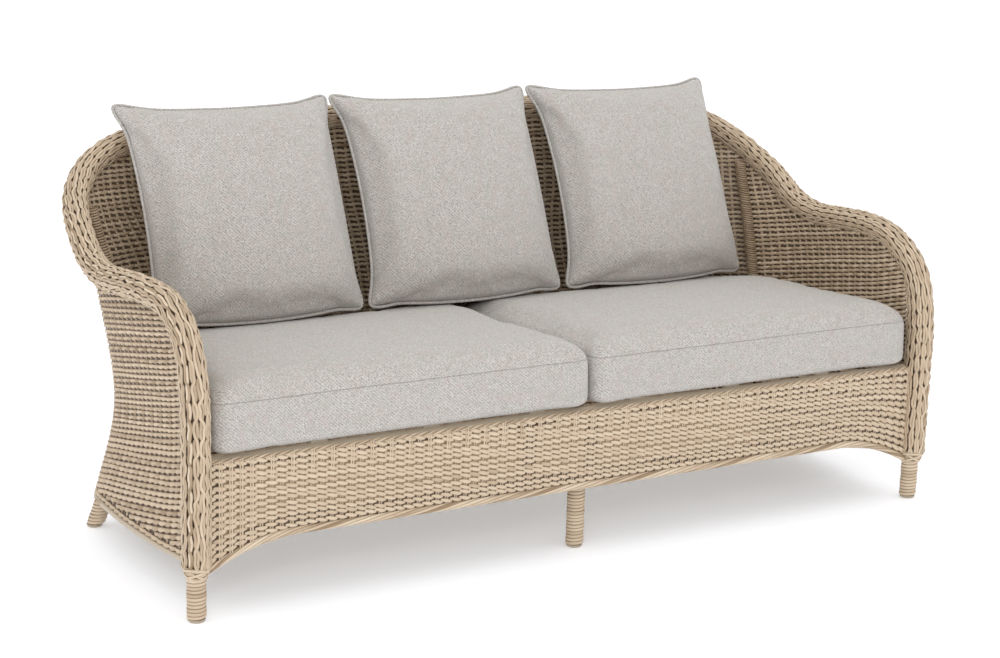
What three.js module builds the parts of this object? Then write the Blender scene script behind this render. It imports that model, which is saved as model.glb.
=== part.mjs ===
// Three-seat garden sofa in woven synthetic rattan over a bent aluminium frame, with loose cushions.
// Millimetres, +Z up, +Y towards the back, +X to the right of someone who looks at the back.
// The origin is on the floor, under the middle of the overall box.
import * as THREE from 'three';

// Overall form: the centre line of the thick woven roll that outlines the arms and the back.
const overallDepth = 850;
const armCentreX = 897;
const armBow = 22;
const armCentreZ = 598;
const backCentreZ = 823;

// Section of the roll: across the wall, and along the wall on the front posts and elsewhere.
const rollHalfThick = 28;
const postHalfDepth = 36;
const rollHalfHeight = 28;

// Clearance between pieces that touch, and the outer radii of the aluminium tubes.
const gap = 0.3;
const wallSeat = 0.8;
const legSeat = 2;
const hoopRadius = 12.5;
const tubeRadius = 11;
const lowTubeRadius = 6;

// The woven wall: its thickness and how far its middle lies inside the roll's centre line.
const wallThick = 9;
const wallInset = 12;

// Waisted profile of the wall, seen from above at five heights: half width, rear face, corner radius.
const skirtZ = 85;
const waistZ = 312;
const hipZ = 539;
const shoulderZ = 659;
const skirtFlare = 4;
const waistInset = 17;
const hipInset = 3.5;
const skirtSetback = 113;
const waistSetback = 151.5;
const hipSetback = 79.5;
const shoulderSetback = 39;
const skirtCorner = 186;
const waistCorner = 232;
const hipCorner = 257;
const shoulderCorner = 205;
const crownCorner = 200;

// Braided bottom border and the knots where it meets the corner legs.
const borderRadius = 10;
const borderZ = 88;
const archZ = 151;
const archReach = 215;
const frontKnotZ = 98;
const frontKnotHalfHeight = 14;
const frontKnotRadius = 25;
const rearKnotRadius = 23;

// Legs: cane wrapping, plastic glides, and the splay of the rear feet.
const wrapRadius = 19;
const glideRadius = 17;
const glideThick = 6;
const glideChamfer = 2;
const cornerSplay = 34;
const centreWrapTop = 150;
const frontCentreSetback = 32.2;
const rearCentreSetback = 197;

// Seat: apron, deck slope and slats.
const apronTopZ = 312;
const seatRailZ = 305;
const seatSlope = 0.0577;
const slatWidth = 36;
const slatThick = 5;
const slatCount = 6;

// Seat cushions.
const seatCushionThick = 138;
const seatCushionGap = 2;
const seatNose = 15;
const seatSideClear = 22.5;
const seatRearClear = 27;
const seatEdgeRound = 26;
const seatCornerRound = 34;
const seatRearRound = 190;

// Back cushions: square pillows with drawn-in sides, and the piping in their seam.
const backCushionHeight = 500;
const backCushionThick = 165;
const backCushionLean = 0.449;
const backCushionFootClear = 115;
const backCushionClear = 1;
const rowLeftClear = 98.5;
const rowRightClear = 135.5;
const leftCushionGap = 3;
const rightCushionGap = 6;
const pipingRadius = 3;
const seamSeat = 0.6;
const drawnInShare = 0.045;

const postCentreX = armCentreX - armBow;
const postCentreY = postHalfDepth - overallDepth / 2;
const backCentreY = overallDepth / 2 - rollHalfThick;
const rollRun = backCentreY - postCentreY;
const slope = Math.atan(seatSlope);
const wallFace = wallInset + wallThick / 2;
const seatCushionWidth = armCentreX - waistInset - wallFace - seatSideClear - seatCushionGap / 2;
const seatCushionFrontY = postCentreY - seatNose;
const seatCushionDepth = backCentreY - waistSetback - wallFace - seatRearClear - seatCushionFrontY;
const rowLeftX = wallFace + rowLeftClear - armCentreX;
const rowRightX = armCentreX - wallFace - rowRightClear;
const backCushionWidth = (rowRightX - rowLeftX - leftCushionGap - rightCushionGap) / 3;

// Shares of the roll's route. Arm: bow towards the widest point, run to the back, height of the arm.
const armRouteShares = [
  [0, 0, 0.669],
  [0, 0.0115, 0.779],
  [0, 0.0242, 0.8395],
  [0, 0.0547, 0.903],
  [0, 0.1018, 0.953],
  [0.05, 0.16, 0.987],
  [0.36, 0.2417, 1],
  [0.64, 0.3206, 1],
  [0.86, 0.416, 0.99],
  [1, 0.5229, 0.9816],
  [1, 0.6069, 0.9983],
];
// Back: half width, run to the back, rise from the arm's height to the back's.
const backRouteShares = [
  [0.9989, 0.6603, 0.0667],
  [0.9922, 0.7545, 0.2711],
  [0.9766, 0.827, 0.4178],
  [0.9543, 0.8766, 0.5378],
  [0.9052, 0.9377, 0.6978],
  [0.825, 0.9758, 0.8444],
  [0.7135, 0.9924, 0.9289],
  [0.5574, 0.9965, 0.9778],
  [0.2787, 0.9993, 0.9956],
  [0, 1, 1],
];
// The wall's plan runs from the post (0) to the middle of the back (1) in three stretches.
const sideShare = 0.4;
const cornerShare = 0.25;
const backShare = 1 - sideShare - cornerShare;
// The rear corner legs stand about this share of the way round the corner's quarter turn.
const legTurnShare = 0.4;
// The side wall leaves the straight post and reaches its full bow by this share of the side.
const bowShare = 0.8;
const borderDropShare = 0.16;

// Fineness of the faceted surfaces.
const rollSides = 8;
const tubeSides = 8;
const borderSides = 8;
const legSides = 10;
const rollSteps = 27;
const wallRows = 8;
const stayRows = 7;
const legRows = 9;
const sideSteps = 10;
const backSteps = 7;
const archSteps = 7;
const pillowSteps = 10;
const pipingSides = 5;

const mix = (a, b, t) => a + (b - a) * t;
const smooth = (t) => {
  const s = Math.min(1, Math.max(0, t));
  return s * s * (3 - 2 * s);
};

const spread = (from, to, steps) => Array.from({ length: steps + 1 }, (_, i) => mix(from, to, i / steps));

const rattan = { color: 0xcdb496, roughness: 0.62, metalness: 0 };
const frameMetal = { color: 0xb9ab95, roughness: 0.5, metalness: 0.1 };
const cloth = { color: 0xbeb9b2, roughness: 0.95, metalness: 0 };
const plastic = { color: 0x2b2926, roughness: 0.55, metalness: 0 };

const sofa = new THREE.Group();

/** Adds a named mesh of the given look to the sofa, or to a group of it. */
function add(name, geometry, look, parent = sofa) {
  const mesh = new THREE.Mesh(geometry, new THREE.MeshStandardMaterial(look));
  mesh.name = name;
  parent.add(mesh);
  return mesh;
}

/** Turns a list of points and triangles into a geometry whose faces point out. */
function closedGeometry(points, triangles) {
  let volume = 0;
  for (const [a, b, c] of triangles) {
    volume += points[a].dot(new THREE.Vector3().crossVectors(points[b], points[c]));
  }
  const index = [];
  for (const [a, b, c] of triangles) {
    index.push(a, volume > 0 ? b : c, volume > 0 ? c : b);
  }
  const geometry = new THREE.BufferGeometry();
  geometry.setAttribute('position', new THREE.Float32BufferAttribute(points.flatMap((p) => p.toArray()), 3));
  geometry.setIndex(index);
  geometry.computeVertexNormals();
  return geometry;
}

/** Triangles of the band between two rings of n points that start at a and at b, facing out or in. */
function band(a, b, n, inward = false) {
  const triangles = [];
  for (let k = 0; k < n; k += 1) {
    const next = (k + 1) % n;
    triangles.push([a + k, a + next, b + next], [a + k, b + next, b + k]);
  }
  return inward ? triangles.map(([p, q, r]) => [p, r, q]) : triangles;
}

/** Solid skinned over rings of equal count, with flat ends, or closed on itself as a loop. */
function loft(rings, loop = false) {
  const n = rings[0].length;
  const last = rings.length - 1;
  const triangles = [];
  for (let i = 0; i < last; i += 1) {
    triangles.push(...band(i * n, (i + 1) * n, n));
  }
  if (loop) {
    triangles.push(...band(last * n, 0, n));
  } else {
    for (let k = 1; k < n - 1; k += 1) {
      triangles.push([0, k + 1, k], [last * n, last * n + k, last * n + k + 1]);
    }
  }
  return closedGeometry(rings.flat(), triangles);
}

/** Hollow sleeve between outer and inner rings, open at both ends. */
function sleeve(outer, inner) {
  const n = outer[0].length;
  const last = outer.length - 1;
  const base = outer.length * n;
  const triangles = [];
  for (let i = 0; i < last; i += 1) {
    triangles.push(...band(i * n, (i + 1) * n, n));
    triangles.push(...band(base + i * n, base + (i + 1) * n, n, true));
  }
  triangles.push(...band(base, 0, n), ...band(last * n, base + last * n, n));
  return closedGeometry([...outer.flat(), ...inner.flat()], triangles);
}

/** Solid sheet between two grids of points, given as columns of equal length. */
function sheet(outer, inner) {
  const rows = outer[0].length;
  const columns = outer.length;
  const base = rows * columns;
  const at = (side, j, k) => side * base + j * rows + k;
  const triangles = [];
  const quad = (a, b, c, d) => triangles.push([a, b, c], [a, c, d]);
  for (let j = 0; j < columns - 1; j += 1) {
    for (let k = 0; k < rows - 1; k += 1) {
      quad(at(0, j, k), at(0, j + 1, k), at(0, j + 1, k + 1), at(0, j, k + 1));
      quad(at(1, j, k), at(1, j, k + 1), at(1, j + 1, k + 1), at(1, j + 1, k));
    }
    quad(at(0, j + 1, 0), at(0, j, 0), at(1, j, 0), at(1, j + 1, 0));
    quad(at(0, j, rows - 1), at(0, j + 1, rows - 1), at(1, j + 1, rows - 1), at(1, j, rows - 1));
  }
  for (let k = 0; k < rows - 1; k += 1) {
    quad(at(0, 0, k), at(0, 0, k + 1), at(1, 0, k + 1), at(1, 0, k));
    quad(at(0, columns - 1, k + 1), at(0, columns - 1, k), at(1, columns - 1, k), at(1, columns - 1, k + 1));
  }
  return closedGeometry([...outer.flat(), ...inner.flat()], triangles);
}

const mirrorPoint = (p) => new THREE.Vector3(-p.x, p.y, p.z);
const mirrorRings = (rings) => rings.map((ring) => ring.map(mirrorPoint));
/** Rings of the right half, which end at the middle, carried on to the left. */
const acrossMiddle = (rings) => [...rings, ...mirrorRings(rings).reverse().slice(1)];

/** Elliptical ring about a centre in the plane of two unit vectors. */
function ring(centre, u, v, a, b, sides) {
  const points = [];
  for (let k = 0; k < sides; k += 1) {
    const angle = (k / sides) * Math.PI * 2;
    points.push(centre.clone().addScaledVector(u, a * Math.cos(angle)).addScaledVector(v, b * Math.sin(angle)));
  }
  return points;
}

const axisX = new THREE.Vector3(1, 0, 0);
const axisY = new THREE.Vector3(0, 1, 0);
const axisZ = new THREE.Vector3(0, 0, 1);

// Rows of the waisted profile, from the skirt to the crown.
const profileRows = [
  [skirtZ, armCentreX + skirtFlare, backCentreY - skirtSetback, skirtCorner],
  [waistZ, armCentreX - waistInset, backCentreY - waistSetback, waistCorner],
  [hipZ, armCentreX - hipInset, backCentreY - hipSetback, hipCorner],
  [shoulderZ, armCentreX, backCentreY - shoulderSetback, shoulderCorner],
  [backCentreZ, armCentreX, backCentreY, crownCorner],
];

/** Half width, rear face and corner radius of the wall's plan at a height, by cubic interpolation. */
function planAt(z) {
  const rows = profileRows;
  const last = rows.length - 1;
  const height = Math.min(rows[last][0], Math.max(rows[0][0], z));
  let i = 0;
  while (i < last - 1 && height > rows[i + 1][0]) {
    i += 1;
  }
  const span = rows[i + 1][0] - rows[i][0];
  const t = (height - rows[i][0]) / span;
  const tangent = (k, column) => {
    const low = rows[Math.max(0, k - 1)];
    const high = rows[Math.min(last, k + 1)];
    return ((high[column] - low[column]) / (high[0] - low[0])) * span;
  };
  const value = (column) => {
    const a = rows[i][column];
    const b = rows[i + 1][column];
    const ta = tangent(i, column);
    const tb = tangent(i + 1, column);
    const t2 = t * t;
    const t3 = t2 * t;
    return (2 * t3 - 3 * t2 + 1) * a + (t3 - 2 * t2 + t) * ta + (3 * t2 - 2 * t3) * b + (t3 - t2) * tb;
  };
  return { halfWidth: value(1), rear: value(2), corner: value(3) };
}

/** Point of the wall's plan at a share of its run and a height, set in by a distance, with its normal. */
function wallFrame(share, z, inset) {
  const plan = planAt(z);
  const cx = plan.halfWidth - plan.corner;
  const cy = plan.rear - plan.corner;
  const point = new THREE.Vector3(0, 0, z);
  const normal = new THREE.Vector3();
  if (share <= sideShare) {
    const s = share / sideShare;
    point.x = mix(postCentreX, plan.halfWidth, smooth(s / bowShare));
    point.y = mix(postCentreY, cy, s);
    normal.copy(axisX);
  } else if (share <= sideShare + cornerShare) {
    const turn = ((share - sideShare) / cornerShare) * (Math.PI / 2);
    normal.set(Math.cos(turn), Math.sin(turn), 0);
    point.x = cx + plan.corner * normal.x;
    point.y = cy + plan.corner * normal.y;
  } else {
    point.x = cx * (1 - (share - sideShare - cornerShare) / backShare);
    point.y = plan.rear;
    normal.copy(axisY);
  }
  point.addScaledVector(normal, -inset);
  return { point, normal, along: new THREE.Vector3(-normal.y, normal.x, 0) };
}

/** Share of the wall's run that lies at a point of it. */
function shareAt(point) {
  const plan = planAt(point.z);
  const cx = plan.halfWidth - plan.corner;
  const cy = plan.rear - plan.corner;
  if (point.y <= cy) {
    return (sideShare * (point.y - postCentreY)) / (cy - postCentreY);
  }
  if (point.x >= cx) {
    const turn = Math.atan2(point.y - cy, point.x - cx);
    return sideShare + cornerShare * (turn / (Math.PI / 2));
  }
  return sideShare + cornerShare + backShare * (1 - point.x / cx);
}

/** Share that lies a distance further along the run than another, measured at a height and inset. */
function shareBeyond(share, z, inset, distance) {
  const step = 0.001;
  const a = wallFrame(share - step, z, inset).point;
  const b = wallFrame(share + step, z, inset).point;
  return share + (distance * 2 * step) / a.distanceTo(b);
}

// Centre line of the roll, right half from the top of the straight post to the middle of the back.
const rightRoute = [
  ...armRouteShares.map(([bow, run, rise]) => new THREE.Vector3(
    mix(postCentreX, armCentreX, bow),
    postCentreY + run * rollRun,
    rise * armCentreZ,
  )),
  ...backRouteShares.map(([half, run, rise]) => new THREE.Vector3(
    half * armCentreX,
    postCentreY + run * rollRun,
    mix(armCentreZ, backCentreZ, rise),
  )),
];
const leftRoute = rightRoute.slice(0, -1).reverse().map(mirrorPoint);
const rollCurve = new THREE.CatmullRomCurve3([...rightRoute, ...leftRoute], false, 'centripetal');
const frontKnotTop = frontKnotZ + frontKnotHalfHeight;
const frontKnotBottom = frontKnotZ - frontKnotHalfHeight;

/** One station of the roll: centre, direction, normal of the wall, and the way down into the wall. */
function station(centre, direction) {
  const share = shareAt(centre);
  const normal = wallFrame(share, centre.z, 0).normal;
  normal.addScaledVector(direction, -normal.dot(direction)).normalize();
  const down = new THREE.Vector3().crossVectors(direction, normal);
  const rise = smooth((centre.z / armCentreZ - armRouteShares[0][2]) / (1 - armRouteShares[0][2]));
  const half = mix(postHalfDepth, rollHalfHeight, rise);
  return { centre, direction, normal, down, half };
}

const rollStations = [];
rollStations.push(station(new THREE.Vector3(postCentreX, postCentreY, frontKnotTop + gap), axisZ.clone()));
rollStations.push(station(rightRoute[0].clone(), axisZ.clone()));
for (let i = 1; i <= rollSteps; i += 1) {
  const t = i / rollSteps / 2;
  const direction = i === rollSteps ? new THREE.Vector3(-1, 0, 0) : rollCurve.getTangent(t);
  rollStations.push(station(rollCurve.getPoint(t), direction));
}
const postTop = 1;

/** Rings of the roll, or of the tube inside it, at the right half's stations. */
function rollRings(stations, across, alongOf) {
  return stations.map((s) => ring(s.centre, s.normal, s.down, across, alongOf(s), rollSides));
}

/** Depth of the roll's flank below its centre line at a distance across it. */
const flank = (half, offset) => half * Math.sqrt(Math.max(0, 1 - (offset / rollHalfThick) ** 2));

/** Point just under the roll at a station, where the wall's skin with this inset ends. */
function underRoll(s, inset) {
  return s.centre.clone().addScaledVector(s.normal, -inset).addScaledVector(s.down, flank(s.half, inset) + wallSeat);
}

// The rear legs, and the joints of the wall and the roll behind them, lie at this station.
const cornerStart = sideShare + cornerShare * legTurnShare;
const legStation = rollStations.findIndex((s) => shareAt(underRoll(s, wallInset)) >= cornerStart);
const legShare = shareAt(underRoll(rollStations[legStation], wallInset));

/** The thick roll: a woven sleeve round the hoop, from one front knot over arms and back to the other. */
function addRoll() {
  const outer = acrossMiddle(rollRings(rollStations, rollHalfThick, (s) => s.half));
  const inner = acrossMiddle(rollRings(rollStations, hoopRadius + gap, () => hoopRadius + gap));
  const cut = legStation;
  const far = outer.length - 1 - cut;
  const part = (from, to) => sleeve(openEnds(outer, from, to), openEnds(inner, from, to));
  add('roll_right', part(0, cut), rattan);
  add('roll_back', part(cut, far), rattan);
  add('roll_left', part(far, outer.length - 1), rattan);
}

/** A run of rings whose cut ends are drawn back by half the clearance. */
function openEnds(rings, from, to) {
  const run = rings.slice(from, to + 1).map((points) => points.map((p) => p.clone()));
  const last = run.length - 1;
  const draw = (here, next) => here.forEach((p, k) => {
    const way = next[k].clone().sub(p).normalize();
    p.addScaledVector(way, gap);
  });
  if (from > 0) {
    draw(run[0], run[1]);
  }
  if (to < rings.length - 1) {
    draw(run[last], run[last - 1]);
  }
  return run;
}

/** The bent aluminium hoop inside the roll, which runs on down as the two front legs. */
function addHoop() {
  const foot = station(new THREE.Vector3(postCentreX, postCentreY, glideThick + gap), axisZ.clone());
  const rings = rollRings([foot, ...rollStations], hoopRadius, () => hoopRadius);
  add('frame_hoop', loft(acrossMiddle(rings)), frameMetal);
}

/** Height of the bottom border's centre along the sides and back. */
function borderHeight(share) {
  return mix(frontKnotZ, borderZ, smooth(share / borderDropShare));
}

const outerInset = wallInset - wallThick / 2;
const innerInset = wallInset + wallThick / 2;
/** Share of the wall's run that lies below a station of the roll. */
const shareBelow = (s) => shareAt(underRoll(s, wallInset));

/** Frame of the wall below a station of the roll, drawn towards the roll on its way up. */
function wallBelow(s, z, inset, skin = innerInset) {
  const top = underRoll(s, skin);
  const share = shareBelow(s);
  const bottom = borderHeight(share) + borderRadius + gap;
  const correction = top.clone().sub(wallFrame(share, top.z, skin).point);
  const frame = wallFrame(share, z, inset);
  frame.point.addScaledVector(correction, smooth((z - bottom) / (top.z - bottom)));
  return frame;
}

/** One column of a wall skin, from the border up to the roll, at a station of the roll. */
function wallColumn(s, inset, shift = 0) {
  const top = underRoll(s, inset).z;
  const bottom = borderHeight(shareBelow(s)) + borderRadius + gap;
  return spread(bottom, top, wallRows).map((z) => {
    const frame = wallBelow(s, z, inset, inset);
    return frame.point.addScaledVector(frame.along, shift);
  });
}

/** Woven side walls between the front posts and the rear legs, and the back wall round both corners. */
function addWalls() {
  const sideStations = rollStations.slice(postTop, legStation + 1);
  const side = (inset) => sideStations.map((s, j) => {
    return wallColumn(s, inset, j === sideStations.length - 1 ? -gap / 2 : 0);
  });
  const backStations = rollStations.slice(legStation);
  const back = (inset) => acrossMiddle(backStations.map((s, j) => wallColumn(s, inset, j === 0 ? gap / 2 : 0)));
  add('weave_side_right', sheet(side(outerInset), side(innerInset)), rattan);
  add('weave_side_left', sheet(mirrorRings(side(outerInset)), mirrorRings(side(innerInset))), rattan);
  add('weave_back', sheet(back(outerInset), back(innerInset)), rattan);
}

/** Height of the arched front border's centre at a distance from the middle. */
function archHeight(x) {
  const reach = (Math.abs(x) - (postCentreX - archReach)) / (archReach - frontKnotRadius);
  const t = Math.min(1, Math.max(0, reach));
  return mix(archZ, frontKnotZ, t * t);
}

/** Half length of a straight front piece that ends against the posts at a depth behind their centre. */
const betweenPosts = (depth) => {
  return postCentreX - rollHalfThick * Math.sqrt(1 - (depth / postHalfDepth) ** 2) - gap;
};

// Places across the arched front, from the right knot to the middle.
const archEnd = postCentreX - frontKnotRadius - gap;
const archPlacesX = spread(0, 1, archSteps).map((t) => archEnd * Math.cos(t * (Math.PI / 2)));

/** Woven front apron between the posts, with its arched lower edge. */
function addApron() {
  const half = betweenPosts(wallThick / 2);
  const skinAt = (y) => acrossMiddle(archPlacesX.map((place) => {
    const x = Math.min(half, place);
    const bottom = archHeight(x) + borderRadius + gap;
    return spread(bottom, apronTopZ, 2).map((z) => new THREE.Vector3(x, y, z));
  }));
  add('weave_apron', sheet(skinAt(postCentreY - wallThick / 2), skinAt(postCentreY + wallThick / 2)), rattan);
}

/** Upright rings along a list of places, each with a centre and a normal in plan. */
function uprightRings(places, radius, sides) {
  return places.map(({ point, normal }) => ring(point, normal, axisZ, radius, radius, sides));
}

/** Places along the wall's run at its bottom border. */
function borderPlaces(from, to, steps) {
  const places = [];
  for (let i = 0; i <= steps; i += 1) {
    const share = mix(from, to, i / steps);
    places.push(wallFrame(share, borderHeight(share), wallInset));
  }
  return places;
}

/** Places along the arched front border, from the right knot to the middle. */
function archPlaces() {
  return archPlacesX.map((x) => ({ point: new THREE.Vector3(x, postCentreY, archHeight(x)), normal: axisY }));
}

/** A braided border with the thin tube that the wall is tied to inside it. */
function addBorder(name, tubeName, halfPlaces, mirrored, whole) {
  const shape = (radius) => {
    const rings = uprightRings(halfPlaces, radius, borderSides);
    if (whole) {
      return acrossMiddle(rings);
    }
    return mirrored ? mirrorRings(rings) : rings;
  };
  add(name, sleeve(shape(borderRadius), shape(lowTubeRadius + gap)), rattan);
  add(tubeName, loft(shape(lowTubeRadius)), frameMetal);
}

const legInset = innerInset + legSeat + tubeRadius;
const rearKnotTop = borderZ + borderRadius;
const rearKnotBottom = borderZ - borderRadius;

function addBorders() {
  const knotReach = frontKnotRadius + gap;
  const start = shareBeyond(0.001, borderZ, wallInset, knotReach);
  const clear = rearKnotRadius + wallSeat + (borderRadius * rearKnotRadius) / skirtCorner;
  const beforeLeg = shareBeyond(legShare, borderZ, wallInset, -clear);
  const afterLeg = shareBeyond(legShare, borderZ, wallInset, clear);
  addBorder('border_right', 'frame_low_tube_right', borderPlaces(start, beforeLeg, sideSteps), false, false);
  addBorder('border_left', 'frame_low_tube_left', borderPlaces(start, beforeLeg, sideSteps), true, false);
  addBorder('border_back', 'frame_low_tube_back', borderPlaces(afterLeg, 1, backSteps), false, true);
  addBorder('border_front', 'frame_low_tube_front', archPlaces(), false, true);
}

/** Height of the seat frame's centre line at a depth. */
const railHeight = (y) => seatRailZ - (y - frontRailY) * seatSlope;
const frontRailY = postCentreY + wallThick / 2 + gap + tubeRadius;

/** Centre of a rear leg at a height: inside the wall above its foot, splayed out below the border. */
function legPlace(s, z, inset, splay) {
  const frame = wallBelow(s, Math.max(z, rearKnotTop), inset);
  frame.point.z = z;
  frame.point.addScaledVector(frame.normal, splay * Math.max(0, 1 - z / rearKnotTop));
  return frame.point;
}

/** Level rings up a leg, at the given heights. */
function levelRings(placeAt, heights, radius, sides) {
  return heights.map((z) => ring(placeAt(z), axisX, axisY, radius, radius, sides));
}

/** Plastic glide under a leg. */
function addGlide(name, x, y) {
  const profile = [
    new THREE.Vector2(0, 0),
    new THREE.Vector2(glideRadius - glideChamfer, 0),
    new THREE.Vector2(glideRadius, glideChamfer),
    new THREE.Vector2(glideRadius, glideThick),
    new THREE.Vector2(0, glideThick),
  ];
  const geometry = new THREE.LatheGeometry(profile, legSides);
  geometry.rotateX(Math.PI / 2);
  const mesh = add(name, geometry, plastic);
  mesh.position.set(x, y, 0);
}

/** Cane wrapping round a leg between two heights, with the clearance for the tube inside. */
function addWrap(name, placeAt, from, to, bore, mirrored = false, radius = wrapRadius) {
  const heights = [from, to];
  const outer = levelRings(placeAt, heights, radius, tubeSides);
  const inner = levelRings(placeAt, heights, bore, tubeSides);
  add(name, mirrored ? sleeve(mirrorRings(outer), mirrorRings(inner)) : sleeve(outer, inner), rattan);
}

/** Front feet: wrapping, knot of the border and glide round the lower ends of the hoop. */
function addFrontFeet() {
  const placeAt = (z) => new THREE.Vector3(postCentreX, postCentreY, z);
  const bore = hoopRadius + gap;
  for (const [side, mirrored] of [['right', false], ['left', true]]) {
    addWrap(`wrap_front_${side}`, placeAt, glideThick + gap, frontKnotBottom - gap, bore, mirrored);
    addWrap(`knot_front_${side}`, placeAt, frontKnotBottom, frontKnotTop, bore, mirrored, frontKnotRadius);
    addGlide(`glide_front_${side}`, mirrored ? -postCentreX : postCentreX, postCentreY);
  }
}

/** Top of an upright that ends under the roll at a station. */
function uprightTop(s) {
  const under = underRoll(s, legInset - tubeRadius);
  const climb = Math.abs(s.direction.z) / Math.hypot(s.direction.x, s.direction.y);
  return under.z - tubeRadius * climb - gap;
}

/** Rear corner legs: one bent tube each from the foot up inside the wall to the roll. */
function addRearLegs() {
  const placeAt = (z) => legPlace(rollStations[legStation], z, legInset, cornerSplay);
  const bottom = glideThick + gap;
  const top = uprightTop(rollStations[legStation]);
  const heights = [bottom, rearKnotBottom, ...spread(rearKnotTop, top, legRows)];
  const rings = levelRings(placeAt, heights, tubeRadius, tubeSides);
  const foot = placeAt(0);
  const bore = tubeRadius + gap;
  for (const [side, mirrored] of [['right', false], ['left', true]]) {
    add(`frame_leg_rear_${side}`, loft(mirrored ? mirrorRings(rings) : rings), frameMetal);
    addWrap(`wrap_rear_${side}`, placeAt, bottom, rearKnotBottom - gap, bore, mirrored);
    addWrap(`knot_rear_${side}`, placeAt, rearKnotBottom, rearKnotTop, bore, mirrored, rearKnotRadius);
    addGlide(`glide_rear_${side}`, mirrored ? -foot.x : foot.x, foot.y);
  }
}

/** Centre legs under the cross tube, front and rear, and the stay that carries the back wall. */
function addCentreLegs() {
  const middle = rollStations[rollStations.length - 1];
  const bottom = glideThick + gap;
  const rail = railPlace(middle).point;
  for (const [end, y, wrapTop] of [
    ['front', frontRailY + frontCentreSetback, centreWrapTop],
    ['rear', backCentreY - rearCentreSetback, rearKnotBottom - gap],
  ]) {
    const placeAt = (z) => new THREE.Vector3(0, y, z);
    const top = railHeight(y + tubeRadius) - tubeRadius - gap;
    add(`frame_leg_${end}_centre`, loft(levelRings(placeAt, [bottom, top], tubeRadius, tubeSides)), frameMetal);
    addWrap(`wrap_${end}_centre`, placeAt, bottom, wrapTop, tubeRadius + gap);
    addGlide(`glide_${end}_centre`, 0, y);
  }
  const stayAt = (z) => legPlace(middle, z, legInset, 0);
  const heights = spread(rail.z + tubeRadius + gap, uprightTop(middle), stayRows);
  add('frame_stay_back', loft(levelRings(stayAt, heights, tubeRadius, tubeSides)), frameMetal);
}

/** Place of the seat frame inside the wall below a station of the roll. */
function railPlace(s) {
  const level = wallBelow(s, seatRailZ, legInset);
  return wallBelow(s, railHeight(level.point.y), legInset);
}

/** A run of places with its first end cut back by one distance and its last by another. */
function trimmed(places, first, last) {
  const run = [...places];
  const cut = (list, distance) => {
    let left = distance;
    while (list.length > 2 && list[0].point.distanceTo(list[1].point) <= left) {
      left -= list[0].point.distanceTo(list[1].point);
      list.shift();
    }
    const part = left / list[0].point.distanceTo(list[1].point);
    const point = list[0].point.clone().lerp(list[1].point, part);
    list[0] = { point, normal: list[0].normal.clone().lerp(list[1].normal, part).normalize() };
  };
  cut(run, first);
  run.reverse();
  cut(run, last);
  return run.reverse();
}

/** Seat frame: a straight front rail, two side rails and a rear rail bent round both corners. */
function addSeatFrame() {
  const half = postCentreX - rollHalfThick - gap;
  const front = [half, -half].map((x) => ({
    point: new THREE.Vector3(x, frontRailY, railHeight(frontRailY)),
    normal: axisY,
  }));
  const places = rollStations.slice(postTop).map(railPlace);
  const leg = legStation - postTop;
  const clear = tubeRadius + gap + (tubeRadius * tubeRadius) / waistCorner;
  const side = uprightRings(trimmed(places.slice(0, leg + 1), 0, clear), tubeRadius, tubeSides);
  const rear = uprightRings(trimmed(places.slice(leg), clear + wallSeat, 0), tubeRadius, tubeSides);
  add('frame_seat_rail_front', loft(uprightRings(front, tubeRadius, tubeSides)), frameMetal);
  add('frame_seat_rail_right', loft(side), frameMetal);
  add('frame_seat_rail_left', loft(mirrorRings(side)), frameMetal);
  add('frame_seat_rail_rear', loft(acrossMiddle(rear)), frameMetal);
}

/** Cross tube under the middle of the seat, between the front and rear rails. */
function addCrossTube() {
  const rearY = railPlace(rollStations[rollStations.length - 1]).point.y;
  const reach = tubeRadius + wallSeat;
  const places = [frontRailY + reach, rearY - reach].map((y) => ({
    point: new THREE.Vector3(0, y, railHeight(y)),
    normal: axisX,
  }));
  add('frame_cross_tube', loft(uprightRings(places, tubeRadius, tubeSides)), frameMetal);
}

/** Flat slats from the front rail to the rear rail, which carry the seat cushions. */
function addSlats() {
  const plan = planAt(seatRailZ);
  const rearY = railPlace(rollStations[rollStations.length - 1]).point.y;
  const run = rearY - frontRailY;
  const reach = plan.halfWidth - plan.corner - slatWidth;
  const deck = new THREE.Group();
  deck.position.set(0, frontRailY, railHeight(frontRailY));
  deck.rotation.x = -slope;
  sofa.add(deck);
  for (let i = 0; i < slatCount; i += 1) {
    const slat = new THREE.BoxGeometry(slatWidth, run / Math.cos(slope), slatThick);
    const mesh = add(`seat_slat_${i + 1}`, slat, frameMetal, deck);
    const across = mix(-reach, reach, i / (slatCount - 1));
    mesh.position.set(across, run / Math.cos(slope) / 2, tubeRadius + gap + slatThick / 2);
  }
}

/** Outline of a box with four rounded corners, drawn in by an inset; corners run from front right. */
function roundedOutline(width, depth, radii, inset, steps) {
  const signs = [[1, -1], [1, 1], [-1, 1], [-1, -1]];
  const points = [];
  signs.forEach(([sx, sy], corner) => {
    const radius = radii[corner];
    const cx = sx * (width / 2 - radius);
    const cy = sy * (depth / 2 - radius);
    for (let i = 0; i <= steps; i += 1) {
      const angle = (corner - 1 + i / steps) * (Math.PI / 2);
      points.push([cx + (radius - inset) * Math.cos(angle), cy + (radius - inset) * Math.sin(angle)]);
    }
  });
  return points;
}

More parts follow.
